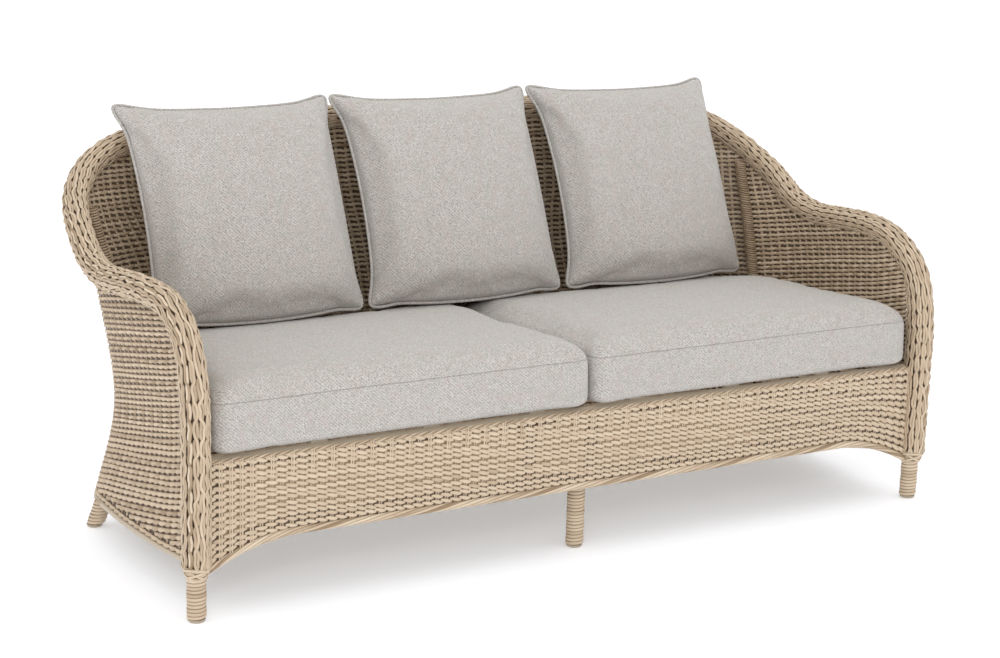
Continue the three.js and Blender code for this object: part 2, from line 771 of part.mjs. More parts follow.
/** Seat cushion: a boxed cushion with rounded edges, cut round at the sofa's rear corner. */
function seatCushion(rearCorner) {
  const radii = [seatCornerRound, seatCornerRound, seatCornerRound, seatCornerRound];
  radii[rearCorner] = seatRearRound;
  const rings = [];
  const edgeSteps = 3;
  const layer = (inset, z) => {
    const outline = roundedOutline(seatCushionWidth, seatCushionDepth, radii, inset, 4);
    rings.push(outline.map(([x, y]) => new THREE.Vector3(x, y, z)));
  };
  for (let i = 0; i <= edgeSteps; i += 1) {
    const angle = (i / edgeSteps) * (Math.PI / 2);
    layer(seatEdgeRound * (1 - Math.sin(angle)), seatEdgeRound * (1 - Math.cos(angle)));
  }
  for (let i = 0; i <= edgeSteps; i += 1) {
    const angle = (i / edgeSteps) * (Math.PI / 2);
    layer(seatEdgeRound * (1 - Math.cos(angle)), seatCushionThick - seatEdgeRound * (1 - Math.sin(angle)));
  }
  return loft(rings);
}

// Top of the slats along the seat's normal, above the front rail's centre.
const deckTop = tubeRadius + gap + slatThick + gap;

/** The two seat cushions, side by side on the slats. */
function addSeatCushions() {
  const seat = new THREE.Group();
  seat.position.set(0, frontRailY, railHeight(frontRailY));
  seat.rotation.x = -slope;
  sofa.add(seat);
  const along = (seatCushionFrontY - frontRailY) / Math.cos(slope) + seatCushionDepth / 2;
  const apart = (seatCushionWidth + seatCushionGap) / 2;
  const right = add('seat_cushion_right', seatCushion(1), cloth, seat);
  right.position.set(apart, along, deckTop);
  const left = add('seat_cushion_left', seatCushion(2), cloth, seat);
  left.position.set(-apart, along, deckTop);
}

/** Place on a pillow's seam plane for two shares from -1 to 1, with its sides drawn in. */
function pillowPlace(u, v, grow) {
  const halfWidth = backCushionWidth / 2 - 2 * pipingRadius - seamSeat + grow;
  const halfHeight = backCushionHeight / 2 - 2 * pipingRadius - seamSeat + grow;
  return new THREE.Vector3(
    u * halfWidth * (1 - drawnInShare * (1 - v * v)),
    0,
    v * halfHeight * (1 - drawnInShare * (1 - u * u)),
  );
}

/** Back cushion: a pillow whose two faces meet in a knife edge. */
function pillow() {
  const n = pillowSteps;
  const points = [];
  const triangles = [];
  const seen = new Map();
  const shareOf = (i) => Math.sin(((i / n) - 1 / 2) * Math.PI);
  const vertex = (i, j, side) => {
    const edge = i === 0 || j === 0 || i === n || j === n;
    const key = `${i} ${j} ${edge ? 0 : side}`;
    if (!seen.has(key)) {
      const u = shareOf(i);
      const v = shareOf(j);
      const place = pillowPlace(u, v, 0);
      const fill = edge ? 0 : ((1 - u * u) * (1 - v * v)) ** 0.42;
      place.y = (side * fill * backCushionThick) / 2;
      seen.set(key, points.length);
      points.push(place);
    }
    return seen.get(key);
  };
  for (let i = 0; i < n; i += 1) {
    for (let j = 0; j < n; j += 1) {
      for (const side of [1, -1]) {
        const a = vertex(i, j, side);
        const b = vertex(i + 1, j, side);
        const c = vertex(i + 1, j + 1, side);
        const d = vertex(i, j + 1, side);
        if (side > 0) {
          triangles.push([a, c, b], [a, d, c]);
        } else {
          triangles.push([a, b, c], [a, c, d]);
        }
      }
    }
  }
  return closedGeometry(points, triangles);
}

/** Piping: a cord in the seam, all the way round the pillow. */
function piping() {
  const steps = 6;
  const outline = [];
  const sides = [[1, 0, -1, 1], [0, 1, 1, -1], [-1, 0, 1, -1], [0, -1, -1, 1]];
  const grow = pipingRadius + seamSeat;
  for (const [fixedU, fixedV, from, to] of sides) {
    for (let i = 0; i < steps; i += 1) {
      const t = mix(from, to, i / steps);
      outline.push(fixedU !== 0 ? pillowPlace(fixedU, t, grow) : pillowPlace(t, fixedV, grow));
    }
  }
  const n = outline.length;
  const rings = outline.map((point, i) => {
    const ahead = outline[(i + 1) % n].clone().sub(outline[(i + n - 1) % n]).normalize();
    const outward = new THREE.Vector3().crossVectors(ahead, axisY);
    return ring(point, outward, axisY, pipingRadius, pipingRadius, pipingSides);
  });
  return loft(rings, true);
}

/** Height above the seat's plane at which a leant piece just rests on it. */
function heightToRest(geometry, tilt) {
  const leant = geometry.clone().rotateX(-tilt);
  const places = leant.getAttribute('position');
  let lowest = 0;
  for (let i = 0; i < places.count; i += 1) {
    lowest = Math.min(lowest, places.getZ(i) + places.getY(i) * seatSlope);
  }
  return gap / Math.cos(slope) - lowest;
}

/**
 * Depth and height of a back cushion's centre. It stands on the seat a little in front of the wall, or
 * further forward where its top would otherwise reach the back's stay.
 */
function leaningPlace(tilt) {
  const middle = rollStations[rollStations.length - 1];
  const seatTop = deckTop + seatCushionThick;
  const lift = heightToRest(piping(), tilt);
  const heightAt = (y) => railHeight(y) + seatTop / Math.cos(slope) + lift;
  const places = pillow().rotateX(-tilt).getAttribute('position');
  const footY = backCentreY - waistSetback - wallFace - backCushionFootClear;
  let y = footY + (backCushionHeight / 2) * Math.sin(tilt);
  for (let i = 0; i < places.count; i += 1) {
    const stay = legPlace(middle, heightAt(y) + places.getZ(i), legInset, 0);
    y = Math.min(y, stay.y - tubeRadius - backCushionClear - places.getY(i));
  }
  return { y, z: heightAt(y) };
}

/** The three back cushions, each leant back, standing on its lower corners on the seat. */
function addBackCushions() {
  const tilt = backCushionLean;
  const { y, z } = leaningPlace(tilt);
  const leftX = rowLeftX + backCushionWidth / 2;
  const middleX = leftX + backCushionWidth + leftCushionGap;
  const rightX = middleX + backCushionWidth + rightCushionGap;
  for (const [name, x] of [['left', leftX], ['middle', middleX], ['right', rightX]]) {
    const group = new THREE.Group();
    group.position.set(x, y, z);
    group.rotation.x = -tilt;
    sofa.add(group);
    add(`back_cushion_${name}`, pillow(), cloth, group);
    add(`back_piping_${name}`, piping(), cloth, group);
  }
}

addHoop();
addRoll();
addWalls();
addApron();
addBorders();
addFrontFeet();
addRearLegs();
addCentreLegs();
addSeatFrame();
addCrossTube();
addSlats();
addSeatCushions();
addBackCushions();

export default sofa;
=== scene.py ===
"""Three-seat garden sofa in woven straw-coloured cane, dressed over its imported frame. Metres, +Z up."""

import math

import bpy
import numpy as np
from mathutils import Matrix


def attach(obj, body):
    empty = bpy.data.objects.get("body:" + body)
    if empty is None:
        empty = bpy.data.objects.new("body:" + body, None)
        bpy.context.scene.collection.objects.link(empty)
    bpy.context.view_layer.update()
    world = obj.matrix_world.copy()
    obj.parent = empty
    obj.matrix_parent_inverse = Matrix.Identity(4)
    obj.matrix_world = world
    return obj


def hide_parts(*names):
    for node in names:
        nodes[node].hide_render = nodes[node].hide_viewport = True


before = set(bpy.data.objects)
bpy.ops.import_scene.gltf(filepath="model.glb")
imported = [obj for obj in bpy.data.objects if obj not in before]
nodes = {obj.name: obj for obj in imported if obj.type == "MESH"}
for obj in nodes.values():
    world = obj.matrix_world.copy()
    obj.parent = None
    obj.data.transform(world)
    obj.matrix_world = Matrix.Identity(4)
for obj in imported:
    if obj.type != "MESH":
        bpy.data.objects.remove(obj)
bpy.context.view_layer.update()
chance = np.random.default_rng(20)

# The studio: a pale floor, a soft overhead light with a gentle key from the front left, and the
# camera low at the sofa's left front corner. None of it belongs to the sofa.
camera_place = np.array([-2.2974, -3.9141, 1.5202])
camera_turn = math.radians(-30.436)
camera_tilt = math.radians(13.919)
camera_roll = math.radians(1.702)
camera_lens = 76.12
floor_reach = 14.0


def camera_axes(turn, tilt, roll):
    """Columns right, up and back of a camera turned about the vertical, tilted down and then rolled."""
    back = np.array([math.sin(turn) * math.cos(tilt), -math.cos(turn) * math.cos(tilt), math.sin(tilt)])
    right = np.array([math.cos(turn), math.sin(turn), 0.0])
    up = np.cross(back, right)
    level = right * math.cos(roll) + up * math.sin(roll)
    rise = up * math.cos(roll) - right * math.sin(roll)
    return np.stack([level, rise, back], axis=1)


lens = bpy.data.cameras.new("camera")
lens.lens = camera_lens
lens.sensor_width = 36.0
camera = bpy.data.objects.new("camera", lens)
bpy.context.scene.collection.objects.link(camera)
camera_matrix = np.eye(4)
camera_matrix[:3, :3] = camera_axes(camera_turn, camera_tilt, camera_roll)
camera_matrix[:3, 3] = camera_place
camera.matrix_world = Matrix(camera_matrix.tolist())
bpy.context.scene.camera = camera


def soft_light(name, place, aim, size, watts, colour):
    """Square area light at a place, turned so that its face looks at the aim."""
    lamp = bpy.data.lights.new(name, "AREA")
    lamp.shape = "SQUARE"
    lamp.size = size
    lamp.energy = watts
    lamp.color = colour
    holder = bpy.data.objects.new(name, lamp)
    back = np.array(place) - np.array(aim)
    back = back / np.linalg.norm(back)
    right = np.cross([0.0, 1.0, 0.0], back)
    right = right / np.linalg.norm(right)
    matrix = np.eye(4)
    matrix[:3, :3] = np.stack([right, np.cross(back, right), back], axis=1)
    matrix[:3, 3] = place
    holder.matrix_world = Matrix(matrix.tolist())
    bpy.context.scene.collection.objects.link(holder)


soft_light("overhead_light", (0.3, -0.6, 4.2), (0.0, 0.0, 0.3), 4.0, 26.0, (1.0, 0.99, 0.97))
soft_light("key_light", (-2.7, -4.0, 2.6), (0.0, 0.0, 0.4), 0.9, 36.0, (1.0, 0.985, 0.96))

world = bpy.data.worlds.new("studio")
world.use_nodes = True
world.node_tree.nodes["Background"].inputs["Color"].default_value = (1.0, 1.0, 1.0, 1.0)
world.node_tree.nodes["Background"].inputs["Strength"].default_value = 1.0
bpy.context.scene.world = world
bpy.context.scene.view_settings.view_transform = "Standard"

floor_mesh = bpy.data.meshes.new("floor")
floor_corners = [(x * floor_reach, y * floor_reach, 0.0) for x, y in ((-1, -1), (1, -1), (1, 1), (-1, 1))]
floor_mesh.from_pydata(floor_corners, [], [(0, 1, 2, 3)])
floor = bpy.data.objects.new("floor", floor_mesh)
bpy.context.scene.collection.objects.link(floor)
floor_paint = bpy.data.materials.new("floor_paint")
floor_paint.use_nodes = True
floor_shader = floor_paint.node_tree.nodes["Principled BSDF"]
floor_shader.inputs["Base Color"].default_value = (0.89, 0.905, 0.94, 1.0)
floor_shader.inputs["Roughness"].default_value = 0.7
floor_shader.inputs["Emission Color"].default_value = (1.0, 1.0, 1.0, 1.0)
floor_shader.inputs["Emission Strength"].default_value = 0.29
floor_mesh.materials.append(floor_paint)

# Shader steps that the cane, the coated surfaces and the cloth share. They belong to no piece.


def sockets(group, given, made):
    """Adds a group's inputs and outputs, as pairs of name and kind, and returns their two nodes."""
    for way, pairs in (("INPUT", given), ("OUTPUT", made)):
        for name, kind in pairs:
            group.interface.new_socket(name=name, in_out=way, socket_type="NodeSocket" + kind)
    return group.nodes.new("NodeGroupInput"), group.nodes.new("NodeGroupOutput")


def fed(group, socket, value):
    """Links an output to a socket, or sets the socket to a plain value."""
    if isinstance(value, bpy.types.NodeSocket):
        group.links.new(value, socket)
    else:
        socket.default_value = value


def number(group, operation, *values, kind="ShaderNodeMath"):
    """Math node with its inputs in order."""
    step = group.nodes.new(kind)
    step.operation = operation
    for socket, value in zip(step.inputs, values):
        fed(group, socket, value)
    return step.outputs[0]


def vector(group, operation, *values):
    """Vector math node with its inputs in order."""
    return number(group, operation, *values, kind="ShaderNodeVectorMath")


def parted(group, value):
    """Node that splits a vector into its axes."""
    step = group.nodes.new("ShaderNodeSeparateXYZ")
    fed(group, step.inputs["Vector"], value)
    return step.outputs


def stretched(group, place, scale):
    """Place scaled along its axes."""
    step = group.nodes.new("ShaderNodeMapping")
    step.inputs["Scale"].default_value = scale
    fed(group, step.inputs["Vector"], place)
    return step.outputs["Vector"]


def cloudy(group, place, scale, detail):
    """Noise at a place."""
    step = group.nodes.new("ShaderNodeTexNoise")
    step.inputs["Scale"].default_value = scale
    step.inputs["Detail"].default_value = detail
    fed(group, step.inputs["Vector"], place)
    return step.outputs["Fac"]


def ranged(group, value, levels):
    """Value carried from one range to another; levels are pairs of socket name and value."""
    step = group.nodes.new("ShaderNodeMapRange")
    for name, level in levels:
        fed(group, step.inputs[name], level)
    fed(group, step.inputs["Value"], value)
    return step.outputs["Result"]


def blended(group, factor, first, second):
    """Colour between two others."""
    step = group.nodes.new("ShaderNodeMix")
    step.data_type = "RGBA"
    fed(group, step.inputs["Factor"], factor)
    fed(group, step.inputs["A"], first)
    fed(group, step.inputs["B"], second)
    return step.outputs["Result"]


def dressed(name, group, colours, strength, distance, feeds, has_rough=True):
    """Material whose group gives a Principled shader its colour, roughness and relief.

    feeds are the group's inputs: socket name, kind of node, name of its map or attribute, and output.
    """
    material = bpy.data.materials.new(name)
    material.use_nodes = True
    tree = material.node_tree
    shader = tree.nodes["Principled BSDF"]
    surface = tree.nodes.new("ShaderNodeGroup")
    surface.node_tree = group
    for socket, colour in colours:
        surface.inputs[socket].default_value = (*colour, 1.0)
    for socket, kind, label, output in feeds:
        feed = tree.nodes.new(kind)
        if kind == "ShaderNodeUVMap":
            feed.uv_map = label
        if kind == "ShaderNodeAttribute":
            feed.attribute_name = label
        tree.links.new(feed.outputs[output], surface.inputs[socket])
    relief = tree.nodes.new("ShaderNodeBump")
    relief.inputs["Strength"].default_value = strength
    relief.inputs["Distance"].default_value = distance
    tree.links.new(surface.outputs["Color"], shader.inputs["Base Color"])
    if has_rough:
        tree.links.new(surface.outputs["Roughness"], shader.inputs["Roughness"])
    tree.links.new(surface.outputs["Height"], relief.inputs["Height"])
    tree.links.new(relief.outputs["Normal"], shader.inputs["Normal"])
    return material, shader, surface


# The cane: flat extruded strands of straw-coloured plastic with a fine lengthwise grain. Every woven
# piece below is made of such strands, each with its own shade, over an inner padding painted near-black as
# shade.
cane_grain_length = 60.0
cane_grain_width = 7.0
cane_edge_start = 0.3
cane_drift = (14.0, 3.0, 1.0)
cane_streak = 0.35
cane_cloud = 0.3


def cane_group():
    """Shader group: a strand's shade and streaks along it give its colour, roughness and relief."""
    group = bpy.data.node_groups.new("cane_surface", "ShaderNodeTree")
    given = [("Along", "Vector"), ("Shade", "Float"), ("Edge", "Float")]
    given += [(name, "Color") for name in ("Pale", "Middle", "Deep", "Hollow")]
    source, result = sockets(group, given, [("Color", "Color"), ("Roughness", "Float"), ("Height", "Float")])
    along, shade, deep = (source.outputs[name] for name in ("Along", "Shade", "Deep"))
    streak = cloudy(group, stretched(group, along, (cane_grain_length, cane_grain_width, 1.0)), 1.0, 3.0)
    cloud = cloudy(group, stretched(group, along, cane_drift), 1.0, 2.0)
    tone = number(group, "MULTIPLY_ADD", streak, cane_streak, shade)
    tone = number(group, "MULTIPLY_ADD", cloud, cane_cloud, tone)
    tone = number(group, "SUBTRACT", tone, (cane_streak + cane_cloud) / 2)
    tone.node.use_clamp = True
    lower = ranged(group, tone, [("From Max", 0.5)])
    upper = ranged(group, tone, [("From Min", 0.5)])
    colour = blended(group, lower, deep, source.outputs["Middle"])
    colour = blended(group, upper, colour, source.outputs["Pale"])
    # Painted shade: each strand darkens towards its edges, where it meets its neighbours.
    away = number(group, "ABSOLUTE", parted(group, along)["Y"])
    levels = [("From Min", cane_edge_start), ("From Max", 0.5), ("To Max", source.outputs["Edge"])]
    colour = blended(group, ranged(group, away, levels), colour, deep)
    # Painted shade: where the shade attribute is below -0.5 (paddings and the sheets behind the weave) the
    # colour is the near-black of shade.
    is_painted_shade = number(group, "LESS_THAN", shade, -0.5)
    colour = blended(group, is_painted_shade, colour, source.outputs["Hollow"])
    fed(group, result.inputs["Color"], colour)
    fed(group, result.inputs["Roughness"], ranged(group, streak, [("To Min", 0.42), ("To Max", 0.62)]))
    fed(group, result.inputs["Height"], streak)
    return group


def cane_material(name, group, edge, tones):
    """Satin plastic cane, with painted shade that darkens it towards its edges by the given share."""
    feeds = [("Along", "ShaderNodeUVMap", "strand", "UV"), ("Shade", "ShaderNodeAttribute", "shade", "Fac")]
    material, shader, surface = dressed(name, group, tones, 0.35, 0.0006, feeds)
    shader.inputs["Specular IOR Level"].default_value = 0.35
    surface.inputs["Edge"].default_value = edge
    return material


cane_look = cane_group()
# The last tone is painted shade: the near-black seen in the gaps between strands.
cane_tones = (
    ("Pale", (0.70, 0.58, 0.44)), ("Middle", (0.56, 0.44, 0.315)),
    ("Deep", (0.27, 0.185, 0.11)), ("Hollow", (0.075, 0.05, 0.031)),
)
straw_cane = cane_material("straw_cane", cane_look, 0.75, cane_tones)
close_cane = cane_material("close_cane", cane_look, 0.5, cane_tones)

# Flat strand section: six points across its width and thickness, as shares of each.
strand_section = np.array([(-0.5, 0.0), (-0.28, 0.5), (0.28, 0.5), (0.5, 0.0), (0.28, -0.5), (-0.28, -0.5)])


def unit(vectors):
    """Vectors divided by their own length."""
    return vectors / np.linalg.norm(vectors, axis=-1, keepdims=True)


def strands(path, out, wide, thick, shade):
    """Strands swept along paths of shape (count, steps, 3).

    Each ring of six points is path + across * width share * wide + facing * thickness share * thick,
    where across = out x tangent and facing = tangent x across, so the flat side looks along `out`.
    """
    path = np.asarray(path, float)
    count, steps, _ = path.shape
    tangent = unit(np.gradient(path, axis=1))
    across = unit(np.cross(np.broadcast_to(out, path.shape), tangent))
    facing = np.cross(tangent, across)
    wide = np.broadcast_to(wide, (count, steps))[..., None, None]
    thick = np.broadcast_to(thick, (count, steps))[..., None, None]
    sides = len(strand_section)
    section_w = strand_section[:, 0][None, None, :, None]
    section_t = strand_section[:, 1][None, None, :, None]
    points = path[:, :, None, :] + across[:, :, None, :] * section_w * wide
    points = points + facing[:, :, None, :] * section_t * thick
    run = np.linalg.norm(np.diff(path, axis=1), axis=-1)
    run = np.concatenate([np.zeros((count, 1)), np.cumsum(run, axis=1)], axis=1)
    lane = np.arange(count)[:, None, None] * 0.37
    u = np.broadcast_to(run[:, :, None] + lane, (count, steps, sides))
    v = np.broadcast_to(section_w[..., 0], (count, steps, sides))
    start = (np.arange(count)[:, None, None] * steps + np.arange(steps - 1)[None, :, None]) * sides
    k = np.arange(sides)[None, None, :]
    following = (k + 1) % sides
    quads = np.stack([start + k, start + k + sides, start + following + sides, start + following], axis=-1)
    first = (np.arange(count) * steps * sides)[:, None]
    last = first + (steps - 1) * sides
    caps = [first + np.array([[0, 1, 2, 3]]), first + np.array([[0, 3, 4, 5]])]
    caps += [last + np.array([[3, 2, 1, 0]]), last + np.array([[5, 4, 3, 0]])]
    faces = np.concatenate([quads.reshape(-1, 4)] + caps)
    tones = np.broadcast_to(np.asarray(shade, float).reshape(count, -1, 1), (count, steps, sides))
    return points.reshape(-1, 3), faces, np.stack([u, v], axis=-1).reshape(-1, 2), tones.reshape(-1)


def padding(centre, side, up, half_side, half_up, sides):
    """Inner padding painted near-black as the shade between strands: a closed tube of ellipses about a line,
    in the plane of side and up.
    """
    angle = np.arange(sides) / sides * 2 * np.pi
    steps = len(centre)
    half_side = np.broadcast_to(half_side, steps)[:, None, None]
    half_up = np.broadcast_to(half_up, steps)[:, None, None]
    points = centre[:, None, :] + side[:, None, :] * half_side * np.cos(angle)[None, :, None]
    points = points + up[:, None, :] * half_up * np.sin(angle)[None, :, None]
    start = np.arange(steps - 1)[:, None] * sides
    k = np.arange(sides)[None, :]
    following = (k + 1) % sides
    quads = np.stack([start + k, start + following, start + following + sides, start + k + sides], axis=-1)
    along = np.cross(side[0], up[0])
    if np.dot(along, centre[1] - centre[0]) < 0:
        quads = quads[..., ::-1]
    ends = [points[0].mean(axis=0), points[-1].mean(axis=0)]
    all_points = np.concatenate([points.reshape(-1, 3), ends])
    hub = steps * sides
    first = np.stack([np.full(sides, hub), following[0], k[0], k[0]], axis=-1)
    far = (steps - 1) * sides
    last = np.stack([np.full(sides, hub + 1), far + k[0], far + following[0], far + following[0]], axis=-1)
    if np.dot(along, centre[1] - centre[0]) < 0:
        first = first[:, [0, 2, 1, 1]]
        last = last[:, [0, 2, 1, 1]]
    faces = np.concatenate([quads.reshape(-1, 4), first, last])
    coords = np.zeros((len(all_points), 2))
    return all_points, faces, coords, np.full(len(all_points), -1.0)


def woven_piece(name, parts, material, body, replaced):
    """One mesh from several (points, faces, coordinates, shades) parts, riding on a body of the frame."""
    points = np.concatenate([part[0] for part in parts])
    offsets = np.cumsum([0] + [len(part[0]) for part in parts[:-1]])
    faces = np.concatenate([part[1] + offset for part, offset in zip(parts, offsets)])
    coords = np.concatenate([part[2] for part in parts])
    shades = np.concatenate([part[3] for part in parts])
    triangle = faces[:, 2] == faces[:, 3]
    sizes = np.where(triangle, 3, 4)
    keep = np.ones(faces.shape, bool)
    keep[triangle, 3] = False
    corners = faces[keep]
    mesh = bpy.data.meshes.new(name)
    mesh.vertices.add(len(points))
    mesh.vertices.foreach_set("co", points.astype(np.float32).ravel())
    mesh.loops.add(len(corners))
    mesh.loops.foreach_set("vertex_index", corners.astype(np.int32))
    mesh.polygons.add(len(faces))
    starts = np.concatenate([[0], np.cumsum(sizes)[:-1]])
    mesh.polygons.foreach_set("loop_start", starts.astype(np.int32))
    mesh.polygons.foreach_set("use_smooth", np.ones(len(faces), bool))
    mesh.update(calc_edges=True)
    layer = mesh.uv_layers.new(name="strand")
    layer.data.foreach_set("uv", coords[corners].astype(np.float32).ravel())
    tone = mesh.attributes.new("shade", "FLOAT", "POINT")
    tone.data.foreach_set("value", shades.astype(np.float32))
    mesh.materials.append(material)
    piece = bpy.data.objects.new(name, mesh)
    bpy.context.scene.collection.objects.link(piece)
    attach(piece, body)
    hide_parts(*replaced)
    return piece


# The roll: one thick woven rope of cane round a bent aluminium hoop and its padding. It starts at the
# right front knot, climbs the post, passes over the arm and the back, and ends at the left front knot.
overall_depth = 0.85
post_x = 0.875
arm_x = 0.897
arm_z = 0.598
back_z = 0.823
roll_half_thick = 0.028
post_half_deep = 0.036
roll_half_tall = 0.028
wall_inset = 0.012
wall_seat = 0.0008
knot_top = 0.112
front_y = post_half_deep - overall_depth / 2
back_y = overall_depth / 2 - roll_half_thick
side_share = 0.4
corner_share = 0.25
back_share = 1 - side_share - corner_share
bow_share = 0.8
leg_share_guess = 0.504
roll_columns = 14
roll_period = 0.033
roll_strand_width = 0.0061
roll_strand_thick = 0.003
roll_meander = 0.0009
roll_lift = 0.0012
roll_cross_period = 0.078
roll_step = 0.0047

arm_route = [
    (0, 0, 0.669), (0, 0.0115, 0.779), (0, 0.0242, 0.8395), (0, 0.0547, 0.903), (0, 0.1018, 0.953),
    (0.05, 0.16, 0.987), (0.36, 0.2417, 1), (0.64, 0.3206, 1), (0.86, 0.416, 0.99),
    (1, 0.5229, 0.9816), (1, 0.6069, 0.9983),
]
back_route = [
    (0.9989, 0.6603, 0.0667), (0.9922, 0.7545, 0.2711), (0.9766, 0.827, 0.4178),
    (0.9543, 0.8766, 0.5378), (0.9052, 0.9377, 0.6978), (0.825, 0.9758, 0.8444),
    (0.7135, 0.9924, 0.9289), (0.5574, 0.9965, 0.9778), (0.2787, 0.9993, 0.9956), (0, 1, 1),
]
# Waisted plan of the wall at five heights: height, half width, rear face, corner radius.
plan_rows = np.array([
    (0.085, arm_x + 0.004, back_y - 0.113, 0.186),
    (0.312, arm_x - 0.017, back_y - 0.1515, 0.232),
    (0.539, arm_x - 0.0035, back_y - 0.0795, 0.257),
    (0.659, arm_x, back_y - 0.039, 0.205),
    (back_z, arm_x, back_y, 0.2),
])


def ease(t):
    """Smooth step: 3 t^2 - 2 t^3 between 0 and 1."""
    t = np.clip(t, 0.0, 1.0)
    return t * t * (3 - 2 * t)


def plan_at(z):
    """Half width, rear face and corner radius at heights, by a cubic through the plan's rows.

    Between two rows the value is the Hermite cubic with each row's slope taken from its neighbours.
    """
    heights = plan_rows[:, 0]
    z = np.clip(z, heights[0], heights[-1])
    last = len(heights) - 1
    i = np.clip(np.searchsorted(heights, z, side="left") - 1, 0, last - 1)
    low = np.maximum(np.arange(last + 1) - 1, 0)
    high = np.minimum(np.arange(last + 1) + 1, last)
    slopes = (plan_rows[high, 1:] - plan_rows[low, 1:]) / (heights[high] - heights[low])[:, None]
    span = (heights[i + 1] - heights[i])[..., None]
    t = (z[..., None] - heights[i][..., None]) / span
    a, b = plan_rows[i, 1:], plan_rows[i + 1, 1:]
    ta, tb = slopes[i] * span, slopes[i + 1] * span
    value = (2 * t**3 - 3 * t**2 + 1) * a + (t**3 - 2 * t**2 + t) * ta
    return np.moveaxis(value + (3 * t**2 - 2 * t**3) * b + (t**3 - t**2) * tb, -1, 0)


def wall_at(share, z, inset):
    """Points and normals of the wall at shares of its run from the right post (0) to mid back (1).

    Three stretches: a bowed side, a quarter circle of the corner's radius, and a straight back.
    """
    share, z = np.broadcast_arrays(np.asarray(share, float), np.asarray(z, float))
    half, rear, corner = plan_at(z)
    cx, cy = half - corner, rear - corner
    s = share / side_share
    turn = np.clip((share - side_share) / corner_share, 0, 1) * np.pi / 2
    side = share <= side_share
    back = share > side_share + corner_share
    x = np.where(side, post_x + (half - post_x) * ease(s / bow_share), cx + corner * np.cos(turn))
    y = np.where(side, front_y + (cy - front_y) * s, cy + corner * np.sin(turn))
    x = np.where(back, cx * (1 - (share - side_share - corner_share) / back_share), x)
    y = np.where(back, rear, y)
    normal = np.stack([np.cos(turn), np.sin(turn), np.zeros_like(turn)], axis=-1)
    return np.stack([x, y, z], axis=-1) - normal * inset, normal


def share_at(points):
    """Share of the wall's run at points of it: the inverse of wall_at in plan."""
    half, rear, corner = plan_at(points[..., 2])
    cx, cy = half - corner, rear - corner
    x, y = points[..., 0], points[..., 1]
    turn = np.arctan2(y - cy, x - cx)
    round_corner = side_share + corner_share * turn / (np.pi / 2)
    along_back = side_share + corner_share + back_share * (1 - x / cx)
    along_side = side_share * (y - front_y) / (cy - front_y)
    return np.where(y <= cy, along_side, np.where(x >= cx, round_corner, along_back))


def smooth_line(points, at):
    """Centripetal Catmull-Rom curve through points; `at` runs 0 to 1 in equal steps from one to the next.

    Each stretch is a cubic whose end slopes weigh the neighbours by the square root of their distances.
    """
    padded = np.concatenate([[2 * points[0] - points[1]], points, [2 * points[-1] - points[-2]]])
    place = np.clip(at, 0, 1) * (len(points) - 1)
    i = np.minimum(place.astype(int), len(points) - 2)
    w = (place - i)[:, None]
    p0, p1, p2, p3 = (padded[i + k] for k in range(4))
    pairs = ((p0, p1), (p1, p2), (p2, p3))
    d0, d1, d2 = (np.sqrt(np.linalg.norm(b - a, axis=1))[:, None] for a, b in pairs)
    t1 = ((p1 - p0) / d0 - (p2 - p0) / (d0 + d1) + (p2 - p1) / d1) * d1
    t2 = ((p2 - p1) / d1 - (p3 - p1) / (d1 + d2) + (p3 - p2) / d2) * d1
    return p1 + t1 * w + (3 * (p2 - p1) - 2 * t1 - t2) * w**2 + (2 * (p1 - p2) + t1 + t2) * w**3


def along_line(points, count):
    """The line resampled at `count` places an equal distance apart, and that distance's running total."""
    run = np.concatenate([[0], np.cumsum(np.linalg.norm(np.diff(points, axis=0), axis=1))])
    at = np.linspace(0, run[-1], count)
    return np.stack([np.interp(at, run, points[:, k]) for k in range(3)], axis=1), at


roll_run = back_y - front_y
right_points = [(post_x + b * (arm_x - post_x), front_y + r * roll_run, h * arm_z) for b, r, h in arm_route]
right_points += [(h * arm_x, front_y + r * roll_run, arm_z + u * (back_z - arm_z)) for h, r, u in back_route]
right_points = np.array(right_points, float)
left_points = right_points[-2::-1] * np.array([-1, 1, 1])
route_curve = smooth_line(np.concatenate([right_points, left_points]), np.linspace(0, 0.5, 1500))
post_heights = np.linspace(knot_top, right_points[0, 2], 60)
post_line = np.stack([np.full(60, post_x), np.full(60, front_y), post_heights], axis=1)
half_line = np.concatenate([post_line[:-1], route_curve])
half_steps = int(round(np.linalg.norm(np.diff(half_line, axis=0), axis=1).sum() / roll_step)) + 1
right_centre, right_run = along_line(half_line, half_steps)


def roll_frame(centre):
    """Direction, outward normal, way down into the wall and half height of the roll along its line.

    The normal is the wall's, made square to the line, and the post's oval section eases to a round one.
    """
    direction = unit(np.gradient(centre, axis=0))
    direction[-1] = (-1, 0, 0)
    _, normal = wall_at(share_at(centre), centre[:, 2], 0.0)
    normal = unit(normal - direction * np.sum(normal * direction, axis=1, keepdims=True))
    low = arm_route[0][2]
    rise = ease((centre[:, 2] / arm_z - low) / (1 - low))
    half = post_half_deep + (roll_half_tall - post_half_deep) * rise
    return direction, normal, np.cross(direction, normal), half


_, right_normal, right_down, right_half = roll_frame(right_centre)


def mirrored(half_values, flip=(-1, 1, 1)):
    """Values along the right half carried on over the middle to the left half."""
    other = half_values[-2::-1]
    return np.concatenate([half_values, other * np.array(flip) if other.ndim > 1 else other])


roll_centre = mirrored(right_centre)
roll_normal = mirrored(right_normal)
roll_down = mirrored(right_down)
roll_half = mirrored(right_half)
roll_at = np.concatenate([right_run, 2 * right_run[-1] - right_run[-2::-1]])


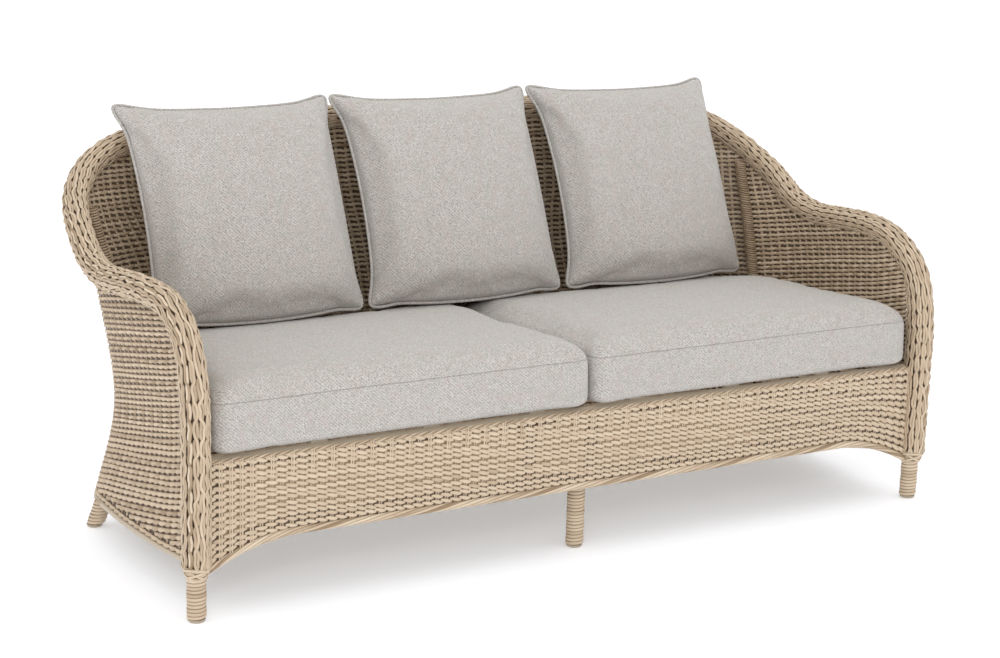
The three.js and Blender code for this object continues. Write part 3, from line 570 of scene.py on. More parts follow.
def strand_shades(count, steps, spread=0.16, middle=0.62):
    """A shade for each strand, which drifts along it by a slow wave and a quick one of random phase."""
    base = chance.normal(middle, spread, (count, 1))
    at = np.linspace(0, 1, steps)[None, :]
    wave = np.sin(2 * np.pi * (at * chance.uniform(2, 7, (count, 1)) + chance.random((count, 1))))
    fine = chance.uniform(steps / 25, steps / 9, (count, 1))
    wave = wave + 1.5 * np.sin(2 * np.pi * (at * fine + chance.random((count, 1))))
    return np.clip(base + 0.05 * wave, 0.05, 1.0)


def roll_strands(first, last):
    """Pairs of strands that run along the roll and meander between their neighbours.

    Column i lies at angle 2 pi i / columns. It sways sideways by cos(phase) and rises by sin(phase),
    with phase = 2 pi run / period, and neighbours sway against each other, which opens the slits. The
    two strands of a pair change sides now and then, one over the other.
    """
    column = np.repeat(np.arange(roll_columns), 2)[:, None]
    hand = np.tile([-1, 1], roll_columns)[:, None]
    sign = np.where(column % 2 == 0, 1, -1)
    run = roll_at[None, first:last]
    wander = 1.3 * np.sin(2 * np.pi * run / 0.31 + column * 1.7)
    wander = wander + 0.9 * np.sin(2 * np.pi * run / 0.117 + column * 2.9)
    phase = 2 * np.pi * run / roll_period + wander
    half = roll_half[None, first:last]
    pitch = np.pi * (roll_half_thick + half) / roll_columns
    lift = sign * roll_lift * np.sin(phase)
    sway = sign * roll_meander * (1 + 0.45 * np.sin(2 * np.pi * run / 0.19 + column * 5.3)) * np.cos(phase)
    stray = 0.00045 * np.sin(2 * np.pi * run / 0.083 + column * 4.1 + hand * 1.3)
    change = np.cos(2 * np.pi * run / roll_cross_period + column * 2.3 + np.sin(run * 17 + column))
    change = change / np.sqrt(change**2 + 0.12)
    lift = lift + hand * 0.0009 * (1 - change**2)
    spread = hand * pitch * 0.245 * change + stray
    angle = 2 * np.pi * (column + 0.5) / roll_columns
    stretch = np.sqrt((roll_half_thick * np.sin(angle)) ** 2 + (half * np.cos(angle)) ** 2)
    angle = angle + (sway + spread) / stretch
    depth = roll_strand_thick / 2 + roll_lift - lift
    a = roll_half_thick - depth
    b = half - depth
    normal, down = roll_normal[None, first:last], roll_down[None, first:last]
    cos, sin = np.cos(angle)[..., None], np.sin(angle)[..., None]
    path = roll_centre[None, first:last] + normal * a[..., None] * cos + down * b[..., None] * sin
    out = unit(normal * cos * b[..., None] + down * sin * a[..., None])
    wide = roll_strand_width * pitch / 0.013
    return path, out, wide


roll_paths, roll_outs, roll_wides = roll_strands(0, len(roll_at))
roll_shades = strand_shades(roll_columns * 2, len(roll_at), 0.13, 0.52)


def under_roll(centre, normal, down, half, inset):
    """Point just under the roll where the wall at this inset ends."""
    deep = half * np.sqrt(1 - (inset / roll_half_thick) ** 2) + wall_seat
    return centre - normal * inset + down * deep[:, None]


wall_top = under_roll(right_centre, right_normal, right_down, right_half, wall_inset)
wall_top_share = share_at(wall_top)
leg_cut = int(np.argmin(np.abs(wall_top_share - leg_share_guess)))
mid_steps = len(roll_at)


def roll_piece(name, first, last, replaced):
    """The length of roll between two stations: its strands and the padding inside them, painted dark as
    shade.
    """
    parts = [strands(
        roll_paths[:, first:last], roll_outs[:, first:last], roll_wides[:, first:last],
        roll_strand_thick, roll_shades[:, first:last],
    )]
    keep = slice(first, last, 2)
    parts.append(padding(
        roll_centre[keep], roll_normal[keep], roll_down[keep],
        roll_half_thick - 0.0052, roll_half[keep] - 0.0052, 16,
    ))
    return woven_piece(name, parts, straw_cane, "frame", [replaced])


roll_piece("woven_roll_right", 0, leg_cut + 1, "roll_right")
roll_piece("woven_roll_back", leg_cut, mid_steps - leg_cut, "roll_back")
roll_piece("woven_roll_left", mid_steps - leg_cut - 1, mid_steps, "roll_left")

# The walls: twined weave. Flat upright stakes stand about a thumb apart, and each row is a pair of
# strands that twist round each other between them, level on the back and climbing along the sides. A
# thin dark sheet behind the weave is no piece of the sofa: it is painted shade, the dark seen between
# the rows, and it keeps light from showing through.
stake_pitch = 0.0225
row_pitch = 0.0103
rear_row_pitch = 0.0109
skirt_pitch = 0.0124
skirt_rows = 10
short_rows = 11
climb_slope = 0.23
climb_start_y = 0.2
stake_width = 0.0075
stake_thick = 0.0024
row_strand_narrow = (0.0074, 0.0064)
row_strand_wide = (0.0118, 0.0096)
row_strand_thick = 0.0028
row_out = 0.0027
row_twist = 0.0009
shade_sheet_thick = 0.0008
border_radius = 0.0058
border_front_z = 0.098
border_z = 0.088
border_drop_share = 0.16
samples_per_stake = 4


def border_height(share):
    """Height of the bottom border's centre: it drops from the front knot in the first of its run."""
    return border_front_z + (border_z - border_front_z) * ease(share / border_drop_share)


def wall_table():
    """Share, top height and leaning correction under the roll, in order of share."""
    order = np.argsort(wall_top_share)
    share, top = wall_top_share[order], wall_top[order]
    on_wall, _ = wall_at(share, top[:, 2], wall_inset)
    return share, top[:, 2], top - on_wall


table_share, table_top, table_lean = wall_table()


def folded(share):
    """Shares past mid back (1) run down the left half: fold them back and say which side they are on."""
    return np.where(share > 1, 2 - share, share), np.where(share > 1, -1.0, 1.0)


def woven_wall(share, z, outward):
    """Points and normals of the woven wall for shares 0 to 2 from the right post to the left one."""
    near, hand = folded(share)
    point, normal = wall_at(near, z, wall_inset)
    top = np.interp(near, table_share, table_top)
    low = border_height(near) + border_radius
    lean = np.stack([np.interp(near, table_share, table_lean[:, k]) for k in range(3)], axis=-1)
    part = ease((z - low) / (top - low))
    point = point + lean * part[..., None] + normal * np.asarray(outward)[..., None]
    flip = np.stack([hand, np.ones_like(hand), np.ones_like(hand)], axis=-1)
    return point * flip, normal * flip


run_shares = np.linspace(0, 1, 400)
run_points, _ = woven_wall(run_shares, np.full(400, 0.42), np.zeros(400))
run_lengths = np.concatenate([[0], np.cumsum(np.linalg.norm(np.diff(run_points, axis=0), axis=1))])
stakes_half = int(round(run_lengths[-1] / stake_pitch))
stake_shares = np.interp(np.linspace(0, run_lengths[-1], stakes_half + 1), run_lengths, run_shares)


def share_of_stake(number):
    """Share of the wall's run at a stake number, counted from the right post over to the left one."""
    near = np.where(number > stakes_half, 2 * stakes_half - number, number)
    share = np.interp(near, np.arange(stakes_half + 1), stake_shares)
    return np.where(number > stakes_half, 2 - share, share)


def wall_ceiling(share, overlap=0.004, reach=0.006):
    """Height up to which a strand shows before it is inside the roll."""
    near, _ = folded(share)
    top = np.interp(near, table_share, table_top) + overlap
    return np.maximum(top, np.interp(near + reach, table_share, table_top))


def row_heights(near):
    """Heights of all rows over the wall's run, and where each of them shows.

    On the back the rows are level. Along the sides they climb towards the front by climb_slope, so the
    lowest ones come up one after another from behind a row that is laid along the border.
    """
    ahead = climb_start_y - np.interp(near, run_shares, run_points[:, 1])
    climb = climb_slope * (ahead + np.sqrt(ahead**2 + 0.06**2)) / 2
    first = np.full(climb.shape, skirt_pitch / 2)
    skirt = skirt_pitch * (np.arange(-short_rows, skirt_rows)[:, None] + 0.5) + climb
    pitch = rear_row_pitch - (rear_row_pitch - row_pitch) * np.clip(climb / 0.13, 0, 1)
    count = int((table_top.max() - border_z) / row_pitch) - skirt_rows
    upper = skirt_rows * skirt_pitch + climb + pitch * (np.arange(count)[:, None] + 0.5)
    over_border = np.concatenate([first[None], skirt, upper])
    shows = over_border > 1.15 * skirt_pitch
    shows[0] = True
    return border_height(near) + border_radius + over_border, shows


def wall_rows(first_stake, last_stake):
    """Twined rows between two stakes: two strands each, n = +-out cos(phase), v = +-twist sin(phase).

    A strand is broad where it passes over a stake and narrow where the two strands cross.
    """
    parts = []
    samples = np.arange(first_stake * samples_per_stake, last_stake * samples_per_stake + 1)
    number = samples / samples_per_stake
    share = share_of_stake(number)
    near, _ = folded(share)
    ceiling = wall_ceiling(share)
    heights, shows = row_heights(near)
    for row in range(len(heights)):
        z = heights[row]
        z = z + 0.0006 * np.sin(number * 0.31 + row * 2.1) + 0.0004 * np.sin(number * 0.83 + row * 1.3)
        inside = (z < ceiling) & shows[row]
        low = row < 1 + short_rows + skirt_rows
        edges = np.flatnonzero(np.diff(np.concatenate([[0], inside.astype(int), [0]])))
        tones = row_tones[row]
        for begin, end in zip(edges[::2], edges[1::2]):
            if end - begin < 3:
                continue
            cut = slice(begin, end)
            phase = np.pi * number[cut]
            swing = np.cos(phase)
            swing = swing * (1.3 - 0.3 * swing**2)
            hands = np.array([1.0, -1.0])[:, None]
            outward = hands * row_out * swing[None, :]
            height = z[None, cut] + hands * row_twist * np.sin(phase)[None, :]
            point, normal = woven_wall(np.broadcast_to(share[cut], outward.shape), height, outward)
            tone = tones[:, None] + 0.06 * np.sin(number[cut] * 0.21 + row * 3.3)[None, :]
            # Painted shade: the strand lying back behind a stake is darker.
            tone = tone - 0.05 * (outward < 0)
            over = np.cos(phase) ** (2 if low else 4)
            narrow = row_strand_narrow[0 if low else 1]
            tall = narrow + (row_strand_wide[0 if low else 1] - narrow) * over
            parts.append(strands(point, normal, tall[None, :], row_strand_thick, np.clip(tone, 0.05, 1)))
    return parts


row_tones = np.clip(chance.normal(0.47, 0.13, (110, 2)), 0.1, 1.0)


def slab(front, rear):
    """Closed thin slab between two grids of points of the same shape (n, m, 3): a sheet of painted shade."""
    n, m, _ = front.shape
    points = np.concatenate([front.reshape(-1, 3), rear.reshape(-1, 3)])
    cell = (np.arange(n - 1)[:, None] * m + np.arange(m - 1)[None, :]).ravel()
    quads = np.stack([cell, cell + m, cell + m + 1, cell + 1], axis=1)
    shell = [quads, quads[:, ::-1] + n * m]
    loops = [np.arange(m - 1), np.arange(n - 1) * m + m - 1]
    loops += [n * m - 1 - np.arange(m - 1), (n - 1 - np.arange(n - 1)) * m]
    for start, forward in zip(loops, (1, m, -1, -m)):
        shell.append(np.stack([start, start + forward, start + forward + n * m, start + n * m], axis=1))
    faces = np.concatenate(shell)
    a, b, d = (points[quads[len(quads) // 2, k]] for k in (0, 1, 3))
    if np.dot(np.cross(b - a, d - a), front[n // 2, m // 2] - rear[n // 2, m // 2]) < 0:
        faces = faces[:, ::-1]
    return points, faces, np.zeros((len(points), 2)), np.full(len(points), -1.0)


def painted_shade_sheet(first_stake, last_stake, levels=24):
    """Painted shade: a dark sheet behind the weave between two stakes, as thick as a thread."""
    share = share_of_stake(np.arange(first_stake * 2, last_stake * 2 + 1) / 2)
    near, _ = folded(share)
    top = np.interp(near, table_share, table_top) + 0.007
    low = border_height(near)
    z = low[:, None] + (top - low)[:, None] * np.linspace(0, 1, levels)[None, :]
    grid = np.broadcast_to(share[:, None], z.shape)
    front, _ = woven_wall(grid, z, np.full(z.shape, shade_sheet_thick / 2))
    rear, _ = woven_wall(grid, z, np.full(z.shape, -shade_sheet_thick / 2))
    return slab(front, rear)


def wall_stakes(first_stake, last_stake, levels=14):
    """Upright stakes of the wall, from the bottom border up into the roll."""
    number = np.arange(first_stake, last_stake + 1) + 0.0
    share = share_of_stake(number)
    near, _ = folded(share)
    top = wall_ceiling(share) - 0.001
    low = border_height(near)
    z = low[:, None] + (top - low)[:, None] * np.linspace(0, 1, levels)[None, :]
    point, normal = woven_wall(np.broadcast_to(share[:, None], z.shape), z, np.zeros(z.shape))
    return strands(point, normal, stake_width, stake_thick, chance.normal(0.42, 0.08, (len(number), 1)))


leg_stake = int(round(np.interp(wall_top_share[leg_cut], stake_shares, np.arange(stakes_half + 1))))
far_leg_stake = 2 * stakes_half - leg_stake
mid_stakes = [leg_stake, leg_stake + (far_leg_stake - leg_stake) // 3]
mid_stakes += [far_leg_stake - (far_leg_stake - leg_stake) // 3, far_leg_stake]


def wall_piece(name, first_stake, last_stake, own_last, replaced):
    """A bay of the wall between two stakes, its rows and its stakes."""
    parts = wall_rows(first_stake, last_stake)
    parts.append(wall_stakes(first_stake, last_stake if own_last else last_stake - 1))
    parts.append(painted_shade_sheet(first_stake, last_stake))
    return woven_piece(name, parts, straw_cane, "frame", [replaced])


wall_piece("woven_side_right", 0, leg_stake, False, "weave_side_right")
wall_piece("woven_back_right", mid_stakes[0], mid_stakes[1], False, "weave_back")
wall_piece("woven_back_middle", mid_stakes[1], mid_stakes[2], False, "weave_back")
wall_piece("woven_back_left", mid_stakes[2], mid_stakes[3], True, "weave_back")
wall_piece("woven_side_left", far_leg_stake, 2 * stakes_half, True, "weave_side_left")

# The apron: the same twined weave, straight across between the front posts. Its rows fan out towards
# the posts, because the lower edge is arched, and a thin rope of strands finishes its upper edge.
apron_top = 0.312
apron_stake_pitch = 0.0212
apron_rows = 13
apron_twist = -0.0022
arch_radius = 0.010
arch_z = 0.151
arch_reach = 0.215
front_knot_z = 0.098
front_knot_radius = 0.025
apron_half = post_x - roll_half_thick + 0.004
rim_radius = 0.0028
rim_z = 0.3096


def arch_height(x):
    """Height of the arched border: level in the middle, falling as the square of the way to the knot."""
    t = np.clip((np.abs(x) - (post_x - arch_reach)) / (arch_reach - front_knot_radius), 0, 1)
    return arch_z + (front_knot_z - arch_z) * t * t


def apron_parts(first_x, last_x):
    """Rows and stakes of the apron between two places across the front."""
    spaces = int(round((last_x - first_x) / apron_stake_pitch))
    number = np.arange(spaces * samples_per_stake + 1) / samples_per_stake
    x = first_x + (last_x - first_x) * number / spaces
    low = arch_height(x) + arch_radius * 0.8
    out = np.array([0.0, -1.0, 0.0])
    parts = []
    for row in range(apron_rows):
        z = low + (apron_top - 0.004 - low) * (row + 0.5) / apron_rows
        z = z + 0.0009 * np.sin(x * 21 + row * 1.9) + 0.0006 * np.sin(x * 47 + row * 2.7)
        phase = np.pi * (x / apron_stake_pitch)
        swing = np.cos(phase)
        swing = swing * (1.3 - 0.3 * swing**2)
        hands = np.array([1.0, -1.0])[:, None]
        outward = hands * row_out * swing[None, :]
        height = z[None, :] + hands * apron_twist * np.sin(phase)[None, :]
        level = np.broadcast_to(x, outward.shape)
        point = np.stack([level, front_y - outward, height], axis=-1)
        # Painted shade: the strand lying back behind a stake is darker.
        tone = apron_tones[row][:, None] + 0.07 * np.sin(x * 9 + row * 3.3)[None, :] - 0.05 * (outward < 0)
        pitch = (apron_top - low) / apron_rows
        closed = 0.56 + 0.16 * np.repeat(apron_luck[row], samples_per_stake)[:len(x)]
        if row in (0, 1, 2, apron_rows - 1):
            closed = closed - 0.1
        tall = np.broadcast_to(pitch * (closed + (0.82 - closed) * np.cos(phase) ** 2), outward.shape)
        parts.append(strands(point, out, tall, row_strand_thick, np.clip(tone, 0.05, 1)))
    first_place, last_place = (math.ceil(end / apron_stake_pitch) for end in (first_x, last_x))
    places = apron_stake_pitch * np.arange(first_place, last_place)
    heights = arch_height(places)[:, None]
    share = np.linspace(0, 1, 13)[None, :]
    z = heights + (apron_top - heights) * share
    ahead = np.where(np.arange(len(places))[:, None] % 2 == 0, 0.0036 * ease((share - 0.62) / 0.2), 0.0)
    ahead = np.where(places[:, None] < 0.09 - apron_half, 0.0034, ahead)
    for shift in (-0.0024, 0.0024):
        point = np.stack([np.broadcast_to(places[:, None] + shift, z.shape), front_y - ahead, z], axis=-1)
        parts.append(strands(point, out, 0.0036, stake_thick, chance.normal(0.6, 0.1, (len(places), 1))))
    # Painted shade: a thin sheet behind the apron's weave in the deep strand colour, near-black under the
    # rim, in the lowest rows, at the ends and along two upright lines.
    across = np.linspace(first_x, last_x, 161)
    height = arch_height(across)[:, None]
    level = height + (apron_top - 0.003 - height) * np.linspace(0, 1, 19)[None, :]
    wide = np.broadcast_to(across[:, None], level.shape)
    front = np.stack([wide, np.full(level.shape, front_y - shade_sheet_thick / 2), level], axis=-1)
    points, faces, coords, _ = slab(front, front + np.array([0.0, shade_sheet_thick, 0.0]))
    over = points[:, 2] - arch_height(points[:, 0])
    dark_shade_rows = (over < 0.036) | (points[:, 2] > apron_top - 0.020)
    dark_shade_ends = (points[:, 0] < 0.024 - apron_half) | (points[:, 0] > apron_half - 0.42)
    dark_shade_lines = (np.abs(points[:, 0]) < 0.012) | (np.abs(points[:, 0] + 0.15) < 0.022)
    parts.append((points, faces, coords, np.where(dark_shade_rows | dark_shade_ends | dark_shade_lines, -1.0, 0.0)))
    return parts


def rope(centre, side, up, radius, count, period, wide, thick, start=0.0):
    """Rope of strands: strand j turns about the line at angle 2 pi (run / period + j / count)."""
    run = np.concatenate([[0], np.cumsum(np.linalg.norm(np.diff(centre, axis=0), axis=1))])
    angle = 2 * np.pi * (run[None, :] / period + np.arange(count)[:, None] / count + start)
    out = side[None] * np.cos(angle)[..., None] + up[None] * np.sin(angle)[..., None]
    path = centre[None] + out * radius
    return strands(path, out, wide, thick, strand_shades(count, len(centre), 0.17, 0.52))


apron_tones = np.clip(chance.normal(0.63, 0.07, (apron_rows, 2)), 0.1, 1.0)
apron_luck = chance.random((apron_rows, 100))
rim_x = np.linspace(-apron_half, apron_half, 341)
rim_centre = np.stack([rim_x, np.full(341, front_y + 0.0005), np.full(341, rim_z)], axis=1)
rim_side = np.broadcast_to([0.0, -1.0, 0.0], rim_centre.shape)
rim_up = np.broadcast_to([0.0, 0.0, 1.0], rim_centre.shape)
apron = apron_parts(-apron_half, apron_half)
apron.append(rope(rim_centre, rim_side, rim_up, rim_radius, 3, 0.0636, 0.005, 0.0034))
woven_piece("woven_apron", apron, close_cane, "frame", ["weave_apron"])

# The bottom borders: broad strands laid almost straight along a thin tube, from knot to knot. They close
# the lower edge of each wall, and the thicker front one rises in an arch between the front legs.
border_strand_thick = 0.0028
front_border = (7, 0.0062, 0.24, 0.0062)
wall_border = (4, 0.0036, 0.4, 0.0064)


def border_line(first, last, count):
    """Centre, normal and way up of the border between two shares of the wall's run."""
    share = np.linspace(first, last, count)
    near, _ = folded(share)
    z = border_height(near)
    point, normal = woven_wall(share, z, np.zeros(count))
    return point, normal, np.broadcast_to([0.0, 0.0, 1.0], point.shape)


def border_piece(name, line, replaced, start, make=wall_border):
    """One border rope with its core painted dark as shade, in place of the plain sleeve of the frame."""
    centre, side, up = line
    count, radius, period, wide = make
    parts = [rope(centre, side, up, radius, count, period, wide, border_strand_thick, start)]
    parts.append(padding(centre[::2], side[::2], up[::2], radius - 0.0012, radius - 0.0012, 8))
    return woven_piece(name, parts, straw_cane, "frame", [replaced])


leg_share = float(wall_top_share[leg_cut])
border_piece("rope_border_right", border_line(0.022, leg_share - 0.017, 111), "border_right", 0.0)
back_line = border_line(leg_share + 0.017, 2 - leg_share - 0.017, 361)
border_piece("rope_border_back", back_line, "border_back", 0.1)
border_piece("rope_border_left", border_line(2 - leg_share + 0.017, 2 - 0.022, 111), "border_left", 0.3)
arch_x = np.linspace(-(post_x - 0.022), post_x - 0.022, 341)
arch_centre = np.stack([arch_x, np.full(341, front_y), arch_height(arch_x)], axis=1)
arch_side = np.broadcast_to([0.0, -1.0, 0.0], arch_centre.shape)
border_piece("rope_border_front", (arch_centre, arch_side, rim_up), "border_front", 0.2, front_border)

# The knots and legs: at each corner the border's strands cross round the leg in a collar, and below
# it a narrow cane is wound tightly round the leg tube down to the plastic glide.
wrap_pitch = 0.0074
wrap_strand_width = 0.0076
wrap_strand_thick = 0.003
wrap_radius = 0.019
glide_thick = 0.0063
knot_bottom = 0.084
rear_knot_top = 0.098
rear_knot_bottom = 0.078
corner_splay = 0.034
rear_leg_inset = 0.0295


def wound_leg(name, top_place, foot_shift, low, high, slope_top, replaced):
    """Cane wound round a leg: a helix about a line that leans by foot_shift below slope_top."""
    turns = (high - low) / wrap_pitch
    steps = int(turns * 18)
    z = np.linspace(low + 0.001, high, steps)
    angle = 2 * np.pi * (z - low) / wrap_pitch
    lean = np.clip(1 - z / slope_top, 0, None)[:, None] * np.array(foot_shift)[None, :]
    out = np.stack([np.cos(angle), np.sin(angle), np.zeros(steps)], axis=1)
    centre = np.array([top_place[0], top_place[1]])[None, :] + lean
    line = np.column_stack([centre, z])
    swell = 0.0004 * np.sin(2 * np.pi * (z - low) / 0.031 + top_place[0] * 9)
    path = line + out * (wrap_radius - wrap_strand_thick / 2 + swell)[:, None]
    luck = chance.normal(0.58, 0.17, int(turns) + 3)
    tone = np.clip(np.interp((z - low) / wrap_pitch, np.arange(len(luck)), luck), 0.1, 1.0)
    parts = [strands(path[None], out[None], wrap_strand_width, wrap_strand_thick, tone[None])]
    east = np.broadcast_to([1.0, 0.0, 0.0], line[::18].shape)
    north = np.broadcast_to([0.0, 1.0, 0.0], line[::18].shape)
    # Painted shade: the padding inside the wound cane is near-black.
    parts.append(padding(line[::18], east, north, 0.0165, 0.0165, 10))
    return woven_piece(name, parts, straw_cane, "frame", [replaced])


def collar(name, place, low, high, half_low, half_high, replaced):
    """Collar: a close layer of level strands round the leg, and four that cross over it slantwise.

    The upper strands' heights sway as sin(angle + strand pi / 2), so that they meet in crosses.
    """
    angle = np.linspace(0, 2 * np.pi, 73)[None, :]
    parts = []
    for count, sway, sink, wide in ((3, 0.0, 0.0024, 1.08 * (high - low) / 3), (4, 0.38, 0.0, 0.0064)):
        strand = np.arange(count)[:, None]
        rise = (strand + 0.5) / count if sway == 0 else np.full(strand.shape, 0.5)
        rise = rise + sway * np.sin(angle + strand * np.pi / 2 + 0.5)
        z = low + (high - low) * rise
        weight = np.clip((z - low) / (high - low), 0, 1) ** 1.3
        under = sink + 0.0008 * (sway > 0) * (1 + np.sin(2 * angle + strand * 2.1))
        a = half_low[0] + (half_high[0] - half_low[0]) * weight - under
        b = half_low[1] + (half_high[1] - half_low[1]) * weight - under
        path = np.stack([place[0] + a * np.cos(angle), place[1] + b * np.sin(angle), z], axis=-1)
        out = unit(np.stack([b * np.cos(angle), a * np.sin(angle), np.full(a.shape, -0.009)], axis=-1))
        tones = strand_shades(count, 73, 0.1, 0.42 if sway == 0 else 0.66)
        parts.append(strands(path, out, wide, 0.0026, tones))
    levels = np.linspace(low + 0.002, high - 0.001, 5)
    part = ((levels - low) / (high - low)) ** 1.3
    line = np.stack([np.full(5, place[0]), np.full(5, place[1]), levels], axis=1)
    east = np.broadcast_to([1.0, 0.0, 0.0], line.shape)
    north = np.broadcast_to([0.0, 1.0, 0.0], line.shape)
    inner_a = half_low[0] + (half_high[0] - half_low[0]) * part - 0.004
    inner_b = half_low[1] + (half_high[1] - half_low[1]) * part - 0.004
    # Painted shade: the padding inside the collar is near-black.
    parts.append(padding(line, east, north, inner_a, inner_b, 16))
    return woven_piece(name, parts, straw_cane, "frame", [replaced])


rear_inset = np.array([wall_inset - rear_leg_inset])
rear_top, rear_out = woven_wall(np.array([leg_share]), np.array([rear_knot_top]), rear_inset)
rear_place = rear_top[0]
rear_shift = rear_out[0][:2] * corner_splay
for side, hand in (("right", 1.0), ("left", -1.0)):
    front_place = (hand * post_x, front_y)
    wound_leg("wound_front_" + side, front_place, (0.0, 0.0), glide_thick, knot_bottom + 0.004, 1.0,
              "wrap_front_" + side)
    collar("collar_front_" + side, front_place, knot_bottom, knot_top + 0.003,
           (0.0195, 0.021), (0.0285, 0.0365), "knot_front_" + side)
    corner_place = (hand * rear_place[0], rear_place[1])
    wound_leg("wound_rear_" + side, corner_place, (hand * rear_shift[0], rear_shift[1]), glide_thick,
              rear_knot_bottom + 0.004, rear_knot_top, "wrap_rear_" + side)
    low_place = (corner_place[0] + hand * rear_shift[0] * 0.1, corner_place[1] + rear_shift[1] * 0.1)
    collar("collar_rear_" + side, low_place, rear_knot_bottom, rear_knot_top,
           (0.021, 0.021), (0.0225, 0.0225), "knot_rear_" + side)

leg_tube_radius = 0.011
bound_radius = leg_tube_radius + 0.0016
bound_strand_width = 0.0044
bound_steps = 640


def bound_leg(side, hand):
    """Strands of the wall's rows carried round the rear corner tube, darkened as painted shade, with the
    tube inside drawn as near-black padding.
    """
    top = float(table_top[np.argmin(np.abs(table_share - leg_share))]) - 0.002
    z = np.linspace(rear_knot_top + 0.002, top, bound_steps)
    share = np.full(bound_steps, leg_share)
    place, normal = woven_wall(share, z, np.full(bound_steps, wall_inset - rear_leg_inset))
    flat = np.stack([normal[:, 1], -normal[:, 0], np.zeros(bound_steps)], axis=1)
    place = place * np.array([hand, 1, 1])
    normal = normal * np.array([hand, 1, 1])
    flat = flat * np.array([hand, 1, 1])
    angle = 2 * np.pi * ((z - z[0])[None, :] / row_pitch + np.array([[0.0], [0.5]]))
    out = normal[None] * np.cos(angle)[..., None] + flat[None] * np.sin(angle)[..., None]
    path = place[None] + out * bound_radius
    # Painted shade: these strands are kept very dark (shade 0.2) so that the corner tube reads as in shade.
    parts = [strands(path, out, bound_strand_width, 0.0026, strand_shades(2, bound_steps, 0.08, 0.2))]
    keep = slice(None, None, 32)
    parts.append(padding(place[keep], normal[keep], flat[keep], leg_tube_radius, leg_tube_radius, 12))
    return woven_piece("bound_leg_" + side, parts, straw_cane, "frame", ["frame_leg_rear_" + side])


bound_leg("right", 1.0)
bound_leg("left", -1.0)
wound_leg("wound_front_centre", (0.0, -0.341), (0.0, 0.0), glide_thick, 0.15, 1.0, "wrap_front_centre")
wound_leg("wound_rear_centre", (0.0, 0.2), (0.0, 0.0), glide_thick, 0.078, 1.0, "wrap_rear_centre")

# The bare tubes and slats of the frame, and the glides: straw-coloured powder coat on aluminium, and
# moulded plastic of nearly the same colour. The frame's own solids carry these finishes.


def coat_group():
    """Shader group: fine orange peel and a faint dust of colour on a coated or moulded surface."""
    group = bpy.data.node_groups.new("coated_surface", "ShaderNodeTree")
    given = [("Place", "Vector"), ("Coat", "Color"), ("Worn", "Color")]
    source, result = sockets(group, given, [("Color", "Color"), ("Roughness", "Float"), ("Height", "Float")])
    peel = cloudy(group, source.outputs["Place"], 700.0, 2.0)
    dust = cloudy(group, source.outputs["Place"], 18.0, 4.0)
    colour = blended(group, dust, source.outputs["Coat"], source.outputs["Worn"])
    fed(group, result.inputs["Color"], colour)
    fed(group, result.inputs["Roughness"], ranged(group, dust, [("To Min", 0.38), ("To Max", 0.58)]))
    fed(group, result.inputs["Height"], peel)
    return group


def coated_material(name, group, coat, worn):
    """Coated metal or moulded plastic."""
    feeds = [("Place", "ShaderNodeTexCoord", "", "Object")]
    material, _, _ = dressed(name, group, (("Coat", coat), ("Worn", worn)), 0.15, 0.0003, feeds)
    return material


coat_look = coat_group()
tube_coat = coated_material("tube_coat", coat_look, (0.52, 0.44, 0.34), (0.47, 0.39, 0.29))
glide_plastic = coated_material("glide_plastic", coat_look, (0.42, 0.35, 0.26), (0.36, 0.30, 0.22))
for node_name, node in nodes.items():
    finish = glide_plastic if node_name.startswith("glide_") else tube_coat
    if node_name.startswith(("glide_", "frame_", "seat_slat_")):
        node.data.materials.clear()
        node.data.materials.append(finish)

# The cushion cloth: warm grey outdoor tweed, woven from slubbed light and dark yarns with faint pink
# and green flecks, over foam. Seat and back cushions and the piping are all cut from it.
yarn_pitch = 0.0018
rise_offset = 1.0
seam_height = rise_offset + 0.104
stitch_heights = (rise_offset + 0.010, rise_offset + 0.016)
seam_half = 0.0016
stitch_half = 0.0007


